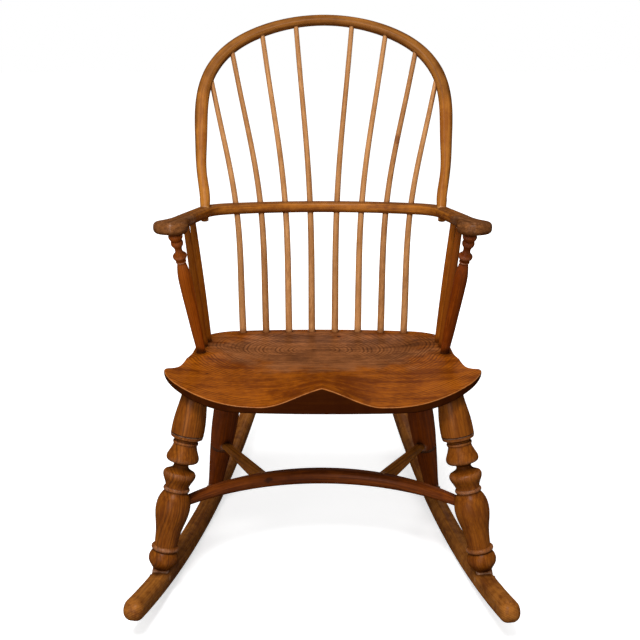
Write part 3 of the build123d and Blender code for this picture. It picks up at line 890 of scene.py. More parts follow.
@dataclass(frozen=True)
class WoodFinish:
    """One of the chair's woods under its old satin wax.

    Attributes:
        slot: The finish's name, as it is logged.
        pale: The lightest fibres.
        deep: The darkest fibres.
        pore: The open pores, the late wood, the wax in the hollows, and the painted shade between parts,
            on what faces down and on a board's edge.
        worn: Rubbed arrises, and the painted highlight on their crests and along a board's rim.
        ring_contrast: How dark the late wood is.
        year_contrast: How far a year's own tone goes, as a share of that.
        streak_contrast: How far the streaks go from the middle colour.
        density: How close the streaks lie.
        pore_amount: How much the pores show.
        late_pores: How many of them are left in late wood, as a share.
        cloud_amount: How uneven the stain is.
        mottle_amount: How spotted it is.
        aged_span: The darkest and the palest of a touched place, as shares of its colour.
        hollow: How far from a corner old wax and the painted shade between parts reach, in metres.
        grime_and_shade_amount: How much wax is left in the hollows, and how dark the painted shade between
            parts is.
        under_shade_amount: How dark the painted shade on what faces down is.
        wear_and_highlight_amount: How far the arrises are rubbed, with their painted highlight.
        arris: How far from an arris they are, in metres.
        edge_shade_amount: How dark the painted shade on the edge of a board with a rim is.
        rim_highlight_amount: How strong the painted highlight along the rim over it is, with its rubbed
            wear.
        halo_amount: How dark the wood round a knot is.
        knot_amount: How dark the knot is.
        waver: How far the rings wander, in metres.
        ripple: How far they shiver within a few fibres.
        roughness: Of the wood under the wax.
        mottle_roughness: How much of it comes and goes with the spots.
        pore_roughness: How much more the pores have.
        relief: Depth of the open grain, in metres.
        relief_strength: How much of it shows in the light.
        late_relief: How far the late wood is sunk, as a share of a pore.
        mottle_relief: How far the spots stand up, as a share of that.
        shine: The wood's own specular level, none because it is soaked with oil.
        wax: Weight of the wax's gloss all over.
        wax_roughness: Of the wax.
        dull_wax: How much of the gloss is left in the dirty hollows and the painted shade, as a share.
        edge_on_fall: How fast the gloss goes from a face that is seen edge-on.
        polish: How much more gloss the rubbed places have.
    """

    slot: str
    pale: Colour
    deep: Colour
    pore: Colour
    worn: Colour
    ring_contrast: float = 0.55
    year_contrast: float = 0.3
    streak_contrast: float = 0.7
    density: float = 1.0
    pore_amount: float = 0.6
    late_pores: float = 0.35
    cloud_amount: float = 0.35
    mottle_amount: float = 0.2
    aged_span: Pair = (0.55, 1.4)
    hollow: float = 0.018
    grime_and_shade_amount: float = 0.9
    under_shade_amount: float = 0.4
    wear_and_highlight_amount: float = 0.4
    arris: float = 0.004
    edge_shade_amount: float = 0.93
    rim_highlight_amount: float = 0.85
    halo_amount: float = 0.4
    knot_amount: float = 0.8
    waver: float = 0.006
    ripple: float = 0.0006
    roughness: float = 0.46
    mottle_roughness: float = 0.12
    pore_roughness: float = 0.14
    relief: float = 0.00022
    relief_strength: float = 0.8
    late_relief: float = 0.25
    mottle_relief: float = 0.55
    shine: float = 0.0
    wax: float = 0.13
    wax_roughness: float = 0.3
    dull_wax: float = 0.1
    edge_on_fall: float = 1.6
    polish: float = 0.3

    def dress(
        self,
        piece: bpy.types.Object,
        stock: Billet | BentStock,
        log: Log,
        flaws: Sequence[Flaw] = (),
        touches: Sequence[Touch] = (),
        rimmed: bool = False,
    ) -> None:
        """Give a piece its own material of this finish.

        Args:
            piece: The object; its material slots are filled.
            stock: How the grain runs through it.
            log: Where in its log it was cut.
            flaws: Knots and marks.
            touches: Places changed by use.
            rimmed: Whether it is a board with a painted highlight, partly rubbed wear, along its rim over
                painted shade on its edge.
        """
        material = bpy.data.materials.new(f"{piece.name} wood")
        material.use_nodes = True
        material.node_tree.nodes.clear()
        graph = Graph(material.node_tree)
        point = stock.point(graph)
        marks = self.marked(graph, point, log, rimmed)
        tone = self.toned(graph, marks, log.tone)

        layers: list[tuple[Socket, float, Value]] = []
        for touch in touches:
            patch = PATCH.place(
                graph,
                Point=point,
                Centre=touch.centre,
                Reach=touch.reach,
                Seed=log.seed,
            )
            dark, light = (tuple(share * part for part in touch.colour) for share in self.aged_span)
            layers.append((patch["Patch"], touch.amount, graph.blend(tone, dark, light)))
        layers += [
            (marks["Late"], self.ring_contrast, self.pore),
            (marks["Open"], self.pore_amount, self.pore),
            # Rubbed arrises, with a painted highlight on their crests.
            (marks["Worn"], self.wear_and_highlight_amount, self.worn),
            # Dark wax in the hollows, with painted shade between parts.
            (marks["Grime And Shade"], self.grime_and_shade_amount, self.pore),
            # Painted shade on faces that point down.
            (marks["Under"], self.under_shade_amount, self.pore),
        ]
        if rimmed:
            # Painted shade on the board's edge.
            layers.append((marks["Edge"], self.edge_shade_amount, self.pore))
            # A painted highlight, partly rubbed wear, along the board's rim.
            layers.append((marks["Line"], self.rim_highlight_amount, self.worn))
        for flaw in flaws:
            knot = KNOT.place(graph, Point=point, Centre=flaw.spot, Size=flaw.size)
            layers.append((knot["Halo"], self.halo_amount, self.deep))
            layers.append((knot["Knot"], self.knot_amount, self.pore))

        colour = graph.blend(tone, self.deep, self.pale)
        for mask, amount, laid in layers:
            colour = graph.blend(graph.times(mask, amount), colour, laid)
        self.waxed(graph, colour, marks)
        piece.data.materials.clear()
        piece.data.materials.append(material)

    def marked(self, graph: Graph, point: Socket, log: Log, rimmed: bool) -> Sockets:
        """Find what years and use have left on the wood.

        Args:
            graph: The material's graph.
            point: Where a point of the surface lies in its stock.
            log: Where in its log the piece was cut.
            rimmed: Whether it is a board with a rim.

        Returns:
            The marks by name; Open is the open grain and Dull is where the gloss is cut, in the dirty
            hollows and the painted shade.
        """
        marks = GROWTH_RINGS.place(
            graph,
            Point=point,
            Pith=log.pith,
            Ring_Width=log.ring_width,
            Taper=log.taper,
            Waver=self.waver,
            Ripple=self.ripple,
            Seed=log.seed,
        )
        marks |= FIBRES.place(graph, Point=point, Density=self.density, Seed=log.seed)
        marks |= PATINA_AND_SHADE.place(graph, Hollow_Size=self.hollow, Ridge_Size=self.arris, Seed=log.seed)
        in_early = graph.span(marks["Early"], (0.0, 1.0), (self.late_pores, 1.0))
        marks["Open"] = graph.times(marks["Pores"], in_early)
        marks["Dull"] = graph.reckon("MAXIMUM", marks["Grime And Shade"], marks["Under"])
        if rimmed:
            marks |= RIM.place(graph, Point=point)
            marks["Dull"] = graph.reckon("MAXIMUM", marks["Dull"], marks["Edge"])
        return marks

    def toned(self, graph: Graph, marks: Sockets, middle: float) -> Socket:
        """Say how pale each point is, from its streaks, its year and the cloudy stain.

        Args:
            graph: The material's graph.
            marks: What is on the wood, by name.
            middle: How pale the piece is as a whole.

        Returns:
            The tone, from 0 for the darkest fibres to 1 for the lightest.
        """
        tone: Value = middle
        for name, amount in (
            ("Streaks", self.streak_contrast),
            ("Cloud", self.cloud_amount),
            ("Mottle", self.mottle_amount),
            ("Year Tone", self.year_contrast * self.ring_contrast),
        ):
            tone = graph.plus(tone, graph.swing(marks[name], amount))
        return graph.reckon("ADD", tone, 0.0, clamp=True)

    def waxed(self, graph: Graph, colour: Socket, marks: Sockets) -> None:
        """Join colour, roughness, open grain and gloss to the surface.

        Args:
            graph: The material's graph.
            colour: The colour of the wood.
            marks: What is on it, by name.
        """
        rough = graph.times(marks["Mottle"], self.mottle_roughness)
        rough = graph.plus(rough, self.roughness - self.mottle_roughness / 2)
        rough = graph.plus(rough, graph.times(marks["Open"], self.pore_roughness))
        height = graph.times(marks["Open"], -1.0)
        height = graph.less(height, graph.times(marks["Late"], self.late_relief))
        height = graph.plus(height, graph.times(marks["Mottle"], self.mottle_relief))
        bump = graph.add("ShaderNodeBump")
        graph.feed(bump.inputs["Strength"], self.relief_strength)
        graph.feed(bump.inputs["Distance"], self.relief)
        graph.feed(bump.inputs["Height"], height)

        rubbed = graph.plus(graph.times(marks["Worn"], self.polish), self.wax)
        gloss_left = graph.span(marks["Dull"], (0.0, 1.0), (1.0, self.dull_wax))
        surface = graph.add("ShaderNodeBsdfPrincipled")
        for name, value in (
            ("Base Color", colour),
            ("Roughness", rough),
            ("Normal", bump.outputs["Normal"]),
            ("Specular IOR Level", self.shine),
            ("Coat Weight", graph.times(graph.times(rubbed, gloss_left), self.faced(graph))),
            ("Coat Roughness", self.wax_roughness),
        ):
            graph.feed(surface.inputs[name], value)
        output = graph.add("ShaderNodeOutputMaterial")
        graph.feed(output.inputs["Surface"], surface.outputs["BSDF"])

    def faced(self, graph: Graph) -> Socket:
        """Say how squarely a face is seen, so that thin round pieces keep their colour.

        Args:
            graph: The material's graph.

        Returns:
            1 where it is seen squarely, falling to 0 where it is seen edge-on.
        """
        layer = graph.add("ShaderNodeLayerWeight")
        graph.feed(layer.inputs["Blend"], 0.5)
        facing = graph.reckon("SUBTRACT", 1.0, layer.outputs["Facing"], clamp=True)
        return graph.reckon("POWER", facing, self.edge_on_fall)


# The sat-on dish: darker with use, with a greyish painted sheen.
SAT_ON_SHEEN: Colour = (0.245, 0.094, 0.035)
STAINED: Colour = (0.130, 0.038, 0.008)
HANDLED: Colour = (0.135, 0.052, 0.018)
CROWN: Colour = (0.230, 0.088, 0.018)
# Painted shade along the hoop's outer side.
OUTER_SHADE: Colour = (0.160, 0.055, 0.010)
SCORED: Colour = (0.030, 0.008, 0.002)

SEAT_WOOD = WoodFinish(
    "seat_wood",
    pale=(0.365, 0.093, 0.005),
    deep=(0.155, 0.032, 0.002),
    pore=(0.024, 0.0045, 0.001),
    worn=(0.50, 0.20, 0.06),
    ring_contrast=0.66,
    streak_contrast=0.8,
    density=0.5,
    pore_amount=0.7,
    cloud_amount=0.7,
    mottle_amount=0.35,
    waver=0.015,
    ripple=0.0026,
    roughness=0.42,
    wax=0.12,
)
HOOP_WOOD = WoodFinish(
    "hoop_wood",
    pale=(0.52, 0.200, 0.030),
    deep=(0.28, 0.084, 0.011),
    pore=(0.13, 0.034, 0.008),
    worn=(0.62, 0.33, 0.11),
    ring_contrast=0.35,
    cloud_amount=0.55,
    waver=0.003,
    wax=0.08,
)
ARM_WOOD = WoodFinish(
    "arm_wood",
    pale=(0.45, 0.152, 0.018),
    deep=(0.21, 0.060, 0.008),
    pore=(0.085, 0.024, 0.006),
    worn=(0.24, 0.115, 0.050),
    ring_contrast=0.35,
    streak_contrast=1.0,
    pore_amount=0.8,
    cloud_amount=0.5,
    mottle_amount=0.5,
    waver=0.003,
)
SPINDLE_WOOD = WoodFinish(
    "spindle_wood",
    pale=(0.58, 0.280, 0.104),
    deep=(0.35, 0.148, 0.046),
    pore=(0.19, 0.062, 0.018),
    worn=(0.70, 0.40, 0.17),
    ring_contrast=0.3,
    waver=0.002,
)
# The side sticks: the spindle wood painted darker, as painted shade.
SHADED_STICK_WOOD = replace(
    SPINDLE_WOOD,
    pale=(0.46, 0.135, 0.010),
    deep=(0.24, 0.058, 0.005),
    pore=(0.08, 0.018, 0.003),
    worn=(0.44, 0.21, 0.09),
)
POST_WOOD = WoodFinish(
    "post_wood",
    pale=(0.44, 0.096, 0.006),
    deep=(0.20, 0.036, 0.003),
    pore=(0.050, 0.011, 0.002),
    worn=(0.55, 0.32, 0.20),
    ring_contrast=0.4,
    wear_and_highlight_amount=0.9,
    arris=0.0075,
)
LEG_WOOD = WoodFinish(
    "leg_wood",
    pale=(0.285, 0.082, 0.007),
    deep=(0.125, 0.029, 0.0025),
    pore=(0.032, 0.008, 0.0015),
    worn=(0.52, 0.30, 0.19),
    ring_contrast=0.65,
    waver=0.0025,
    wear_and_highlight_amount=0.9,
    arris=0.009,
)
PLAIN_LEG_WOOD = replace(LEG_WOOD, ring_contrast=0.25)
# The rear legs: the leg wood painted darker, as painted shade under the seat.
SHADED_REAR_LEG_WOOD = replace(
    LEG_WOOD,
    pale=(0.255, 0.050, 0.004),
    deep=(0.12, 0.021, 0.0025),
    pore=(0.040, 0.010, 0.002),
    ring_contrast=0.3,
)
STRETCHER_WOOD = WoodFinish(
    "stretcher_wood",
    pale=(0.235, 0.054, 0.007),
    deep=(0.090, 0.018, 0.003),
    pore=(0.030, 0.008, 0.002),
    worn=(0.34, 0.16, 0.06),
    ring_contrast=0.4,
    streak_contrast=0.95,
    cloud_amount=0.5,
    waver=0.004,
)
# The spurs: the stretcher wood painted paler, as painted light under the seat, with less painted shade
# below.
LIT_SPUR_WOOD = replace(
    STRETCHER_WOOD,
    pale=(0.48, 0.160, 0.020),
    deep=(0.25, 0.072, 0.009),
    streak_contrast=0.6,
    under_shade_amount=0.2,
)
ROCKER_WOOD = WoodFinish(
    "rocker_wood",
    pale=(0.36, 0.125, 0.020),
    deep=(0.165, 0.048, 0.008),
    pore=(0.050, 0.016, 0.004),
    worn=(0.48, 0.25, 0.11),
    ring_contrast=0.4,
    cloud_amount=0.8,
    mottle_amount=0.7,
    waver=0.003,
    relief=0.0003,
)
PEG_WOOD = WoodFinish(
    "peg_wood",
    pale=(0.28, 0.100, 0.020),
    deep=(0.13, 0.040, 0.009),
    pore=(0.035, 0.012, 0.004),
    worn=(0.38, 0.20, 0.08),
)


# ---------------------------------------------------------------- the chair
SIDEWAYS: Triple = (1.0, 0.0, 0.0)
REARWARDS: Triple = (0.0, 1.0, 0.0)
DOWN: Triple = (0.0, 0.0, -1.0)


class Side(Enum):
    """The two sides of the chair as seen from the front, with the way each lies."""

    LEFT = -1
    RIGHT = 1

    def of(self, kind: str) -> str:
        """The name of this side's piece of a kind."""
        return f"{kind}_{self.name.lower()}"


@dataclass
class Assembly:
    """A part of the chair that is made and finished together."""

    def piece(self, name: str) -> bpy.types.Object:
        """The solid piece of that name."""
        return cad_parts[name]

    def report(self, piece: bpy.types.Object, finish: WoodFinish) -> None:
        """Note what finish a piece was dressed with, and report it."""
        LOG.info("%s: %s", piece.name, finish.slot)


@dataclass
class Seat(Assembly):
    """The saddled seat, one board with the grain from side to side.

    Attributes:
        tilt: How far it falls to the back, in degrees.
        deck_height: The top of its deck above the floor, over the origin.
        eye: The middle of its oval rings, along and across the deck.
        eye_depth: How far below the deck it lies.
        ring_width: The growth of one year.
        ring_squash: How much closer the rings are to the back than to the side.
        marks: Two small dark marks in the deck.
        dish: The sat-on dish, darker with use, its greyish tint a painted sheen.
        stain: A dark stain at its right end.
    """

    tilt: float = 4.0
    deck_height: float = 0.400
    eye: Pair = (-0.019, -0.009)
    eye_depth: float = 0.024
    ring_width: float = 0.0056
    ring_squash: float = 0.72
    marks: tuple[Flaw, ...] = (
        Flaw(spot=(0.032, 0.058, -0.0036), size=0.0032),
        Flaw(spot=(-0.21, -0.17, -0.015), size=0.0022),
    )
    dish: Touch = Touch(centre=(0.0, -0.025, -0.01), reach=(0.25, 0.14, 0.1), colour=SAT_ON_SHEEN, amount=0.75)
    stain: Touch = Touch(centre=(0.185, 0.004, -0.01), reach=(0.06, 0.05, 0.1), colour=STAINED, amount=0.6)

    def on_deck(self, rearwards: float, up: float) -> Vector:
        """Find a place over the middle of the deck.

        Args:
            rearwards: How far it lies behind the origin, along the deck.
            up: How far it lies over the deck.

        Returns:
            The place on the chair.
        """
        slope = math.radians(self.tilt)
        y = rearwards * math.cos(slope) + up * math.sin(slope)
        z = up * math.cos(slope) - rearwards * math.sin(slope)
        return Vector((0.0, y, self.deck_height + z))

    def rearwards(self) -> Triple:
        """The way to the back along the deck."""
        slope = math.radians(self.tilt)
        return (0.0, math.cos(slope), -math.sin(slope))

    def dress(self) -> None:
        """Finish the seat."""
        seat = self.piece("seat")
        stock = Billet((0.0, 0.0, self.deck_height), SIDEWAYS, self.rearwards())
        log = Log(4.2, (*self.eye, -self.eye_depth), self.ring_width, taper=self.ring_squash)
        SEAT_WOOD.dress(seat, stock, log, self.marks, (self.dish, self.stain), rimmed=True)
        self.report(seat, SEAT_WOOD)


@dataclass
class Back(Assembly):
    """The bent hoop and its eight spindles.

    Attributes:
        rake: How far the hoop leans back from upright, in degrees.
        rise: From the arm bow to the crown, up the plane of the hoop.
        foot: Where that plane starts: behind the origin along the deck, and over it.
        crown_radius: Radius of the top of the hoop.
        crown_angle: Half of what it turns, in degrees.
        shoulder_radius: Radius of each shoulder.
        side_radius: Radius of each long side.
        side_angle: What each side turns, in degrees.
        hoop_log: Where in its log the hoop was cut.
        crown: A darker patch over the top of the hoop.
        outer_shade: Painted shade along its outer side.
        spindles: How many there are.
        spindle_pith: How far the middle of the log lies from each.
        spindle_ring: The growth of one year in them.
        knotty: Which of them has a knot, from the left.
        knot: Where that is on the chair, and its size.
    """

    rake: float = 32.0
    rise: float = 0.4065
    foot: Pair = (0.0102, 0.268)
    crown_radius: float = 0.325
    crown_angle: float = 28.0
    shoulder_radius: float = 0.1705
    side_radius: float = 1.9
    side_angle: float = 6.5
    hoop_log: Log = Log(2.6, pith=(0.0, 0.06, 0.02), ring_width=0.0026, taper=0.05)
    crown: Touch = Touch(centre=(0.0, 0.0, 0.0), reach=(0.36, 0.1, 0.1), colour=CROWN, amount=0.7)
    outer_shade: Touch = Touch(centre=(0.0, 0.016, 0.0), reach=(1.5, 0.012, 0.1), colour=OUTER_SHADE, amount=0.85)
    spindles: int = 8
    spindle_pith: float = 0.05
    spindle_ring: float = 0.0028
    knotty: int = 7
    knot: Flaw = Flaw(spot=(0.1485, 0.1400, 0.7823), size=0.0064)

    def dress(self, seat: Seat) -> None:
        """Finish the hoop and the spindles.

        Args:
            seat: The seat that the back stands on.
        """
        hoop = self.piece("back_hoop")
        lean = math.radians(self.rake)
        up = Vector((0.0, math.sin(lean), math.cos(lean)))
        top = seat.on_deck(*self.foot) + up * self.rise
        bends = (
            (self.crown_radius, self.crown_angle),
            (self.shoulder_radius, 90.0 - self.crown_angle),
            (self.side_radius, self.side_angle),
        )
        stock = BentStock(tuple(top), SIDEWAYS, tuple(up), bends)
        HOOP_WOOD.dress(hoop, stock, self.hoop_log, touches=(self.crown, self.outer_shade))
        self.report(hoop, HOOP_WOOD)
        for number in range(1, self.spindles + 1):
            spindle = self.piece(f"spindle_{number}")
            stock = Billet.of(spindle)
            log = Log.numbered(number, self.spindle_pith, self.spindle_ring)
            knots = (replace(self.knot, spot=stock.spot(self.knot.spot)),) if number == self.knotty else ()
            SPINDLE_WOOD.dress(spindle, stock, log, knots)
            self.report(spindle, SPINDLE_WOOD)


@dataclass
class Arms(Assembly):
    """The bent arm bow, its hand pads, side sticks and turned posts.

    Attributes:
        height: The top of the bow over the deck.
        thickness: Of the bow.
        back: The middle of the bow behind the origin, along the deck.
        back_radius: Radius of the bow behind the sitter.
        back_angle: Half of what it turns there, in degrees.
        corner_radius: Radius of each corner.
        flare: How far each arm opens to the front, in degrees.
        bow_log: Where in its log the bow was cut.
        top: The handled top of the bow.
        hand: A hand's grip, before it is moved along the bow.
        hand_run: From the middle of the back to the middle of a hand, along the bow.
        upright_pith: How far the middle of the log lies from each stick and post.
        upright_ring: The growth of one year in them.
        first_upright: The number in the log of the first of them.
        side_light_shifts: How much paler the sticks and post of the left and the right side are painted:
            painted light on the left, painted shade on the right.
    """

    height: float = 0.268
    thickness: float = 0.022
    back: float = 0.106
    back_radius: float = 0.470
    back_angle: float = 23.4
    corner_radius: float = 0.075
    flare: float = 9.0
    bow_log: Log = Log(5.1, pith=(0.0, 0.03, -0.07), ring_width=0.0028, taper=0.04)
    top: Touch = Touch(centre=(0.0, 0.0, 0.014), reach=(1.5, 0.2, 0.008), colour=HANDLED, amount=0.55)
    hand: Touch = Touch(centre=(0.0, 0.0, 0.0), reach=(0.12, 0.1, 0.1), colour=HANDLED, amount=0.8)
    hand_run: float = 0.49
    upright_pith: float = 0.06
    upright_ring: float = 0.0032
    first_upright: int = 20
    side_light_shifts: Pair = (0.25, -0.4)

    def dress(self, seat: Seat) -> None:
        """Finish the arms and what carries them, over the seat that they stand on."""
        self.dress_bow(seat)
        self.dress_uprights()

    def dress_bow(self, seat: Seat) -> None:
        """Finish the arm bow and the hand pads.

        Args:
            seat: The seat that the bow lies over.
        """
        middle = seat.on_deck(self.back, self.height - self.thickness / 2)
        bends = (
            (self.back_radius, self.back_angle),
            (self.corner_radius, 90.0 - self.flare - self.back_angle),
        )
        stock = BentStock(tuple(middle), SIDEWAYS, seat.rearwards(), bends, straight_end=True)
        runs = (side.value * self.hand_run for side in Side)
        hands = tuple(replace(self.hand, centre=(run, 0.0, 0.0)) for run in runs)
        for number, name in enumerate(("arm_bow", "hand_pad_left", "hand_pad_right")):
            piece = self.piece(name)
            log = replace(self.bow_log, seed=self.bow_log.seed + number)
            ARM_WOOD.dress(piece, stock, log, touches=(self.top, *hands))
            self.report(piece, ARM_WOOD)

    def dress_uprights(self) -> None:
        """Finish the side sticks and the posts."""
        number = self.first_upright
        for side, shift in zip(Side, self.side_light_shifts):
            for kind, finish in (
                ("side_stick_front", SHADED_STICK_WOOD),
                ("side_stick_rear", SHADED_STICK_WOOD),
                ("arm_post", POST_WOOD),
            ):
                piece = self.piece(side.of(kind))
                log = Log.numbered(number, self.upright_pith, self.upright_ring)
                # The shift paints light on the left side's pieces and shade on the right side's.
                finish.dress(piece, Billet.of(piece), replace(log, tone=log.tone + shift))
                self.report(piece, finish)
                number += 1


@dataclass
class Undercarriage(Assembly):
    """Legs, bowed stretcher, spurs, rockers and their pegs.

    Attributes:
        turned_log: Where in its log the first leg was cut; the others follow.
        turned_pith: How far the middle of the log lies from the axis of a leg or a spur.
        next_seed: How far the pattern of one turned piece is from the last.
        foot_tenon: Length of the tenon under each leg.
        score: A scored line, before it is moved up its leg.
        front_scores: Heights of the scored lines up a front leg.
        rear_scores: The same on a rear leg.
        bow_half_span: Half of the distance between the front legs at the stretcher.
        bow_setback: How far the stretcher's middle stands behind its ends.
        bow_inset: How far its own line lies in front of its rear face.
        bow_log: Where in its log it was cut.
        bow_knot: The knot in its front.
        rocker_radius: Radius of the running edge.
        rocker_sweep: How far it turns to each end, in degrees.
        rocker_spread: Half of the distance between the rockers at the origin.
        rocker_toe: How far each rocker turns in to the back, in degrees.
        rocker_contact: Where its lowest point lies, in front of the origin.
        rocker_log: Where in its log the left rocker was cut, apart from the pith.
        rocker_pith: How far the pith lies below the running edge, and in from it.
        peg_log: Where in its log the pegs were cut.
    """

    turned_log: Log = Log(31.0, ring_width=0.0046, taper=0.1)
    turned_pith: float = 0.09
    next_seed: float = 3.7
    foot_tenon: float = 0.022
    score: Touch = Touch(centre=(0.0, 0.0, 0.0), reach=(0.0018, 0.1, 0.1), colour=SCORED, amount=0.95)
    front_scores: tuple[float, ...] = (0.257,)
    rear_scores: tuple[float, ...] = (0.108, 0.112)
    bow_half_span: float = 0.270
    bow_setback: float = 0.126
    bow_inset: float = 0.015
    bow_log: Log = Log(6.6, pith=(0.0, 0.05, 0.035), ring_width=0.003, taper=0.05)
    bow_knot: Flaw = Flaw(spot=(-0.1086, -0.0138, 0.0049), size=0.006)
    rocker_radius: float = 1.560
    rocker_sweep: float = 20.0
    rocker_spread: float = 0.250
    rocker_toe: float = 9.1
    rocker_contact: float = -0.055
    rocker_log: Log = Log(7.7, ring_width=0.0034, taper=0.06)
    rocker_pith: Pair = (0.05, 0.04)
    peg_log: Log = Log(9.0)

    def dress(self) -> None:
        """Finish everything below the seat."""
        self.dress_turned()
        self.dress_pegs()
        self.dress_stretcher()
        self.dress_rockers()

    def dress_turned(self) -> None:
        """Finish the turned legs and the spurs."""
        for number, (name, finish, turn, scores) in enumerate((
            ("front_leg_left", LEG_WOOD, 20.0, self.front_scores),
            ("front_leg_right", PLAIN_LEG_WOOD, 160.0, self.front_scores),
            ("rear_leg_left", SHADED_REAR_LEG_WOOD, 35.0, self.rear_scores),
            ("rear_leg_right", SHADED_REAR_LEG_WOOD, -30.0, self.rear_scores),
            ("spur_left", LIT_SPUR_WOOD, 80.0, ()),
            ("spur_right", LIT_SPUR_WOOD, 110.0, ()),
        )):
            piece = self.piece(name)
            stock = Billet.of(piece)
            foot = stock.low_end(piece) + self.foot_tenon
            lines = tuple(replace(self.score, centre=(foot + score, 0.0, 0.0)) for score in scores)
            angle = math.radians(turn)
            pith = (0.0, self.turned_pith * math.cos(angle), self.turned_pith * math.sin(angle))
            seed = self.turned_log.seed + self.next_seed * number
            finish.dress(piece, stock, replace(self.turned_log, seed=seed, pith=pith), touches=lines)
            self.report(piece, finish)

    def dress_pegs(self) -> None:
        """Finish the pegs, which run across the rockers."""
        pegs = self.piece("rocker_pegs")
        PEG_WOOD.dress(pegs, Billet((0.0, 0.0, 0.0), SIDEWAYS, REARWARDS), self.peg_log)
        self.report(pegs, PEG_WOOD)

    def dress_stretcher(self) -> None:
        """Finish the bowed stretcher."""
        bow = self.piece("crinoline_stretcher")
        low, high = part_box("crinoline_stretcher")
        radius = (self.bow_half_span**2 + self.bow_setback**2) / (2 * self.bow_setback)
        turn = math.degrees(math.asin(self.bow_half_span / radius))
        origin = (0.0, high.y - self.bow_inset, (low.z + high.z) / 2)
        stock = BentStock(origin, SIDEWAYS, REARWARDS, ((radius, turn),))
        STRETCHER_WOOD.dress(bow, stock, self.bow_log, (self.bow_knot,))
        self.report(bow, STRETCHER_WOOD)

    def dress_rockers(self) -> None:
        """Finish the two rockers."""
        toe = math.radians(self.rocker_toe)
        below, inwards = self.rocker_pith
        for number, side in enumerate(Side):
            rearwards = Vector((-side.value * math.sin(toe), math.cos(toe), 0.0))
            lowest = Vector((side.value * self.rocker_spread, 0.0, 0.0))
            lowest += rearwards * (self.rocker_contact / math.cos(toe))
            bends = ((self.rocker_radius, self.rocker_sweep),)
            stock = BentStock(tuple(lowest), tuple(rearwards), DOWN, bends)
            seed = self.rocker_log.seed + number
            log = replace(self.rocker_log, seed=seed, pith=(0.0, below, side.value * inwards))
            piece = self.piece(side.of("rocker"))
            ROCKER_WOOD.dress(piece, stock, log)
            self.report(piece, ROCKER_WOOD)


# ---------------------------------------------------------------- the studio
@dataclass(frozen=True)
class Lamp:
    """A soft square lamp that faces the chair.

    Attributes:
        name: What it is called.
        place: Where it hangs.
        side: The length of its side.
        power: In watts.
    """

    name: str
    place: Triple
    side: float
    power: float

    def hang(self, target: Triple) -> None:
        """Hang the lamp.

        Args:
            target: Where it points.
        """
        lamp = bpy.data.lights.new(self.name, "AREA")
        lamp.shape = "SQUARE"
        lamp.size = self.side
        lamp.energy = self.power
        holder = bpy.data.objects.new(self.name, lamp)
        holder.location = self.place
        aim = Vector(target) - Vector(self.place)
        holder.rotation_euler = aim.to_track_quat("-Z", "Y").to_euler()
        bpy.context.scene.collection.objects.link(holder)


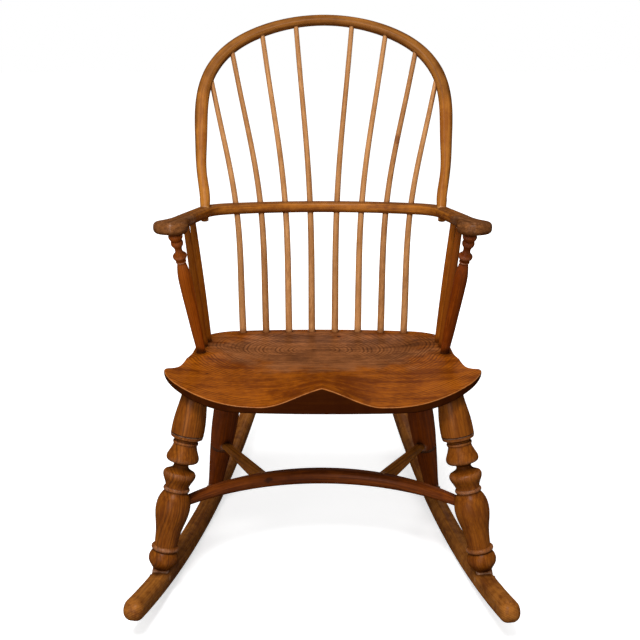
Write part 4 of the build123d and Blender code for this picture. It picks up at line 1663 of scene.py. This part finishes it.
@dataclass
class Studio:
    """A pale floor, soft lamps, a plain white surround and the camera.

    Attributes:
        floor_size: Side of the square floor.
        floor_shade: Its reflectance as the chair sees it.
        floor_white: Its reflectance as the camera sees it.
        floor_glow: What it gives off to the camera under the chair, and far away.
        shadow_reach: How far from the origin that begins to change, and where it ends.
        surround: Strength of the light from all round.
        lamps: The key, fill and rim lamps.
        target: What they point at.
        sensor: Width of the camera's film, in millimetres.
        focal_length: In widths of the film.
        camera_place: Where the camera stands.
        camera_pitch: How far it looks down, in degrees.
        camera_roll: How far it leans, in degrees.
        camera_yaw: How far it turns to the left, in degrees.
    """

    floor_size: float = 40.0
    floor_shade: float = 0.28
    floor_white: float = 0.9
    floor_glow: Pair = (0.62, 1.0)
    shadow_reach: Pair = (0.7, 2.2)
    surround: float = 0.19
    lamps: tuple[Lamp, ...] = (
        Lamp("key", place=(-0.3, -1.9, 3.1), side=1.0, power=86.0),
        Lamp("fill", place=(-0.9, -2.4, 1.0), side=1.5, power=24.0),
        Lamp("rim", place=(0.4, 2.4, 2.3), side=1.6, power=24.0),
    )
    target: Triple = (0.0, 0.0, 0.45)
    sensor: float = 36.0
    focal_length: float = 942.93 / 640
    camera_place: Triple = (0.01185, -1.77796, 0.99912)
    camera_pitch: float = 17.29
    camera_roll: float = 0.06
    camera_yaw: float = 0.56

    def build(self) -> None:
        """Set the studio up."""
        self.build_floor()
        self.build_surround()
        for lamp in self.lamps:
            lamp.hang(self.target)
        self.build_camera()
        bpy.context.scene.view_settings.view_transform = "Standard"

    def build_floor(self) -> None:
        """Lay the floor: white to the camera apart from the chair's shadow."""
        half = self.floor_size / 2
        mesh = bpy.data.meshes.new("floor")
        corners = [(-half, -half, 0), (half, -half, 0), (half, half, 0), (-half, half, 0)]
        mesh.from_pydata(corners, [], [(0, 1, 2, 3)])
        mesh.materials.append(self.floor_material())
        floor = bpy.data.objects.new("floor", mesh)
        bpy.context.scene.collection.objects.link(floor)

    def floor_material(self) -> bpy.types.Material:
        """Make the floor's material.

        Returns:
            A matt surface that also glows where the camera looks at it.
        """
        material = bpy.data.materials.new("pale floor")
        material.use_nodes = True
        material.node_tree.nodes.clear()
        graph = Graph(material.node_tree)
        seen = self.looked_at(graph)
        away = graph.vector("LENGTH", graph.surface("Object"))
        shade, white = (self.floor_shade,) * 3, (self.floor_white,) * 3
        matt = graph.add("ShaderNodeBsdfDiffuse")
        graph.feed(matt.inputs["Color"], graph.blend(seen, shade, white))
        glow = graph.add("ShaderNodeEmission")
        strength = graph.times(seen, graph.span(away, self.shadow_reach, self.floor_glow))
        graph.feed(glow.inputs["Color"], (1.0, 1.0, 1.0))
        graph.feed(glow.inputs["Strength"], strength)
        both = graph.add("ShaderNodeAddShader")
        graph.feed(both.inputs[0], matt.outputs[0])
        graph.feed(both.inputs[1], glow.outputs[0])
        output = graph.add("ShaderNodeOutputMaterial")
        graph.feed(output.inputs["Surface"], both.outputs[0])
        return material

    def build_surround(self) -> None:
        """Light the chair from all round, white where the camera or a gloss looks at it."""
        world = bpy.data.worlds.new("surround")
        world.use_nodes = True
        bpy.context.scene.world = world
        world.node_tree.nodes.clear()
        graph = Graph(world.node_tree)
        strength = graph.span(self.looked_at(graph), (0.0, 1.0), (self.surround, 1.0))
        sky = graph.add("ShaderNodeBackground")
        graph.feed(sky.inputs["Color"], (1.0, 1.0, 1.0))
        graph.feed(sky.inputs["Strength"], strength)
        output = graph.add("ShaderNodeOutputWorld")
        graph.feed(output.inputs["Surface"], sky.outputs[0])

    def looked_at(self, graph: Graph) -> Socket:
        """Tell what is looked at from what only gives light.

        Args:
            graph: The graph of the floor or the surround.

        Returns:
            1 where the camera sees a surface, itself, in a gloss or through glass, and 0 otherwise.
        """
        rays = graph.add("ShaderNodeLightPath")
        seen = graph.reckon("MAXIMUM", rays.outputs["Is Camera Ray"], rays.outputs["Is Glossy Ray"])
        return graph.reckon("MAXIMUM", seen, rays.outputs["Is Transmission Ray"])

    def build_camera(self) -> None:
        """Stand the camera in front of the chair, a little above it."""
        lens = bpy.data.cameras.new("camera")
        lens.sensor_width = self.sensor
        lens.lens = self.sensor * self.focal_length
        camera = bpy.data.objects.new("camera", lens)
        camera.location = self.camera_place
        camera.rotation_mode = "XYZ"
        angles = (90.0 - self.camera_pitch, self.camera_roll, self.camera_yaw)
        camera.rotation_euler = tuple(math.radians(angle) for angle in angles)
        bpy.context.scene.collection.objects.link(camera)
        bpy.context.scene.camera = camera


def main() -> None:
    """Dress the chair and set up the studio."""
    logging.basicConfig(level=logging.INFO, format="%(message)s")
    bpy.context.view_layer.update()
    seat = Seat()
    seat.dress()
    Back().dress(seat)
    Arms().dress(seat)
    Undercarriage().dress()
    Studio().build()


if __name__ == "__main__":
    main()
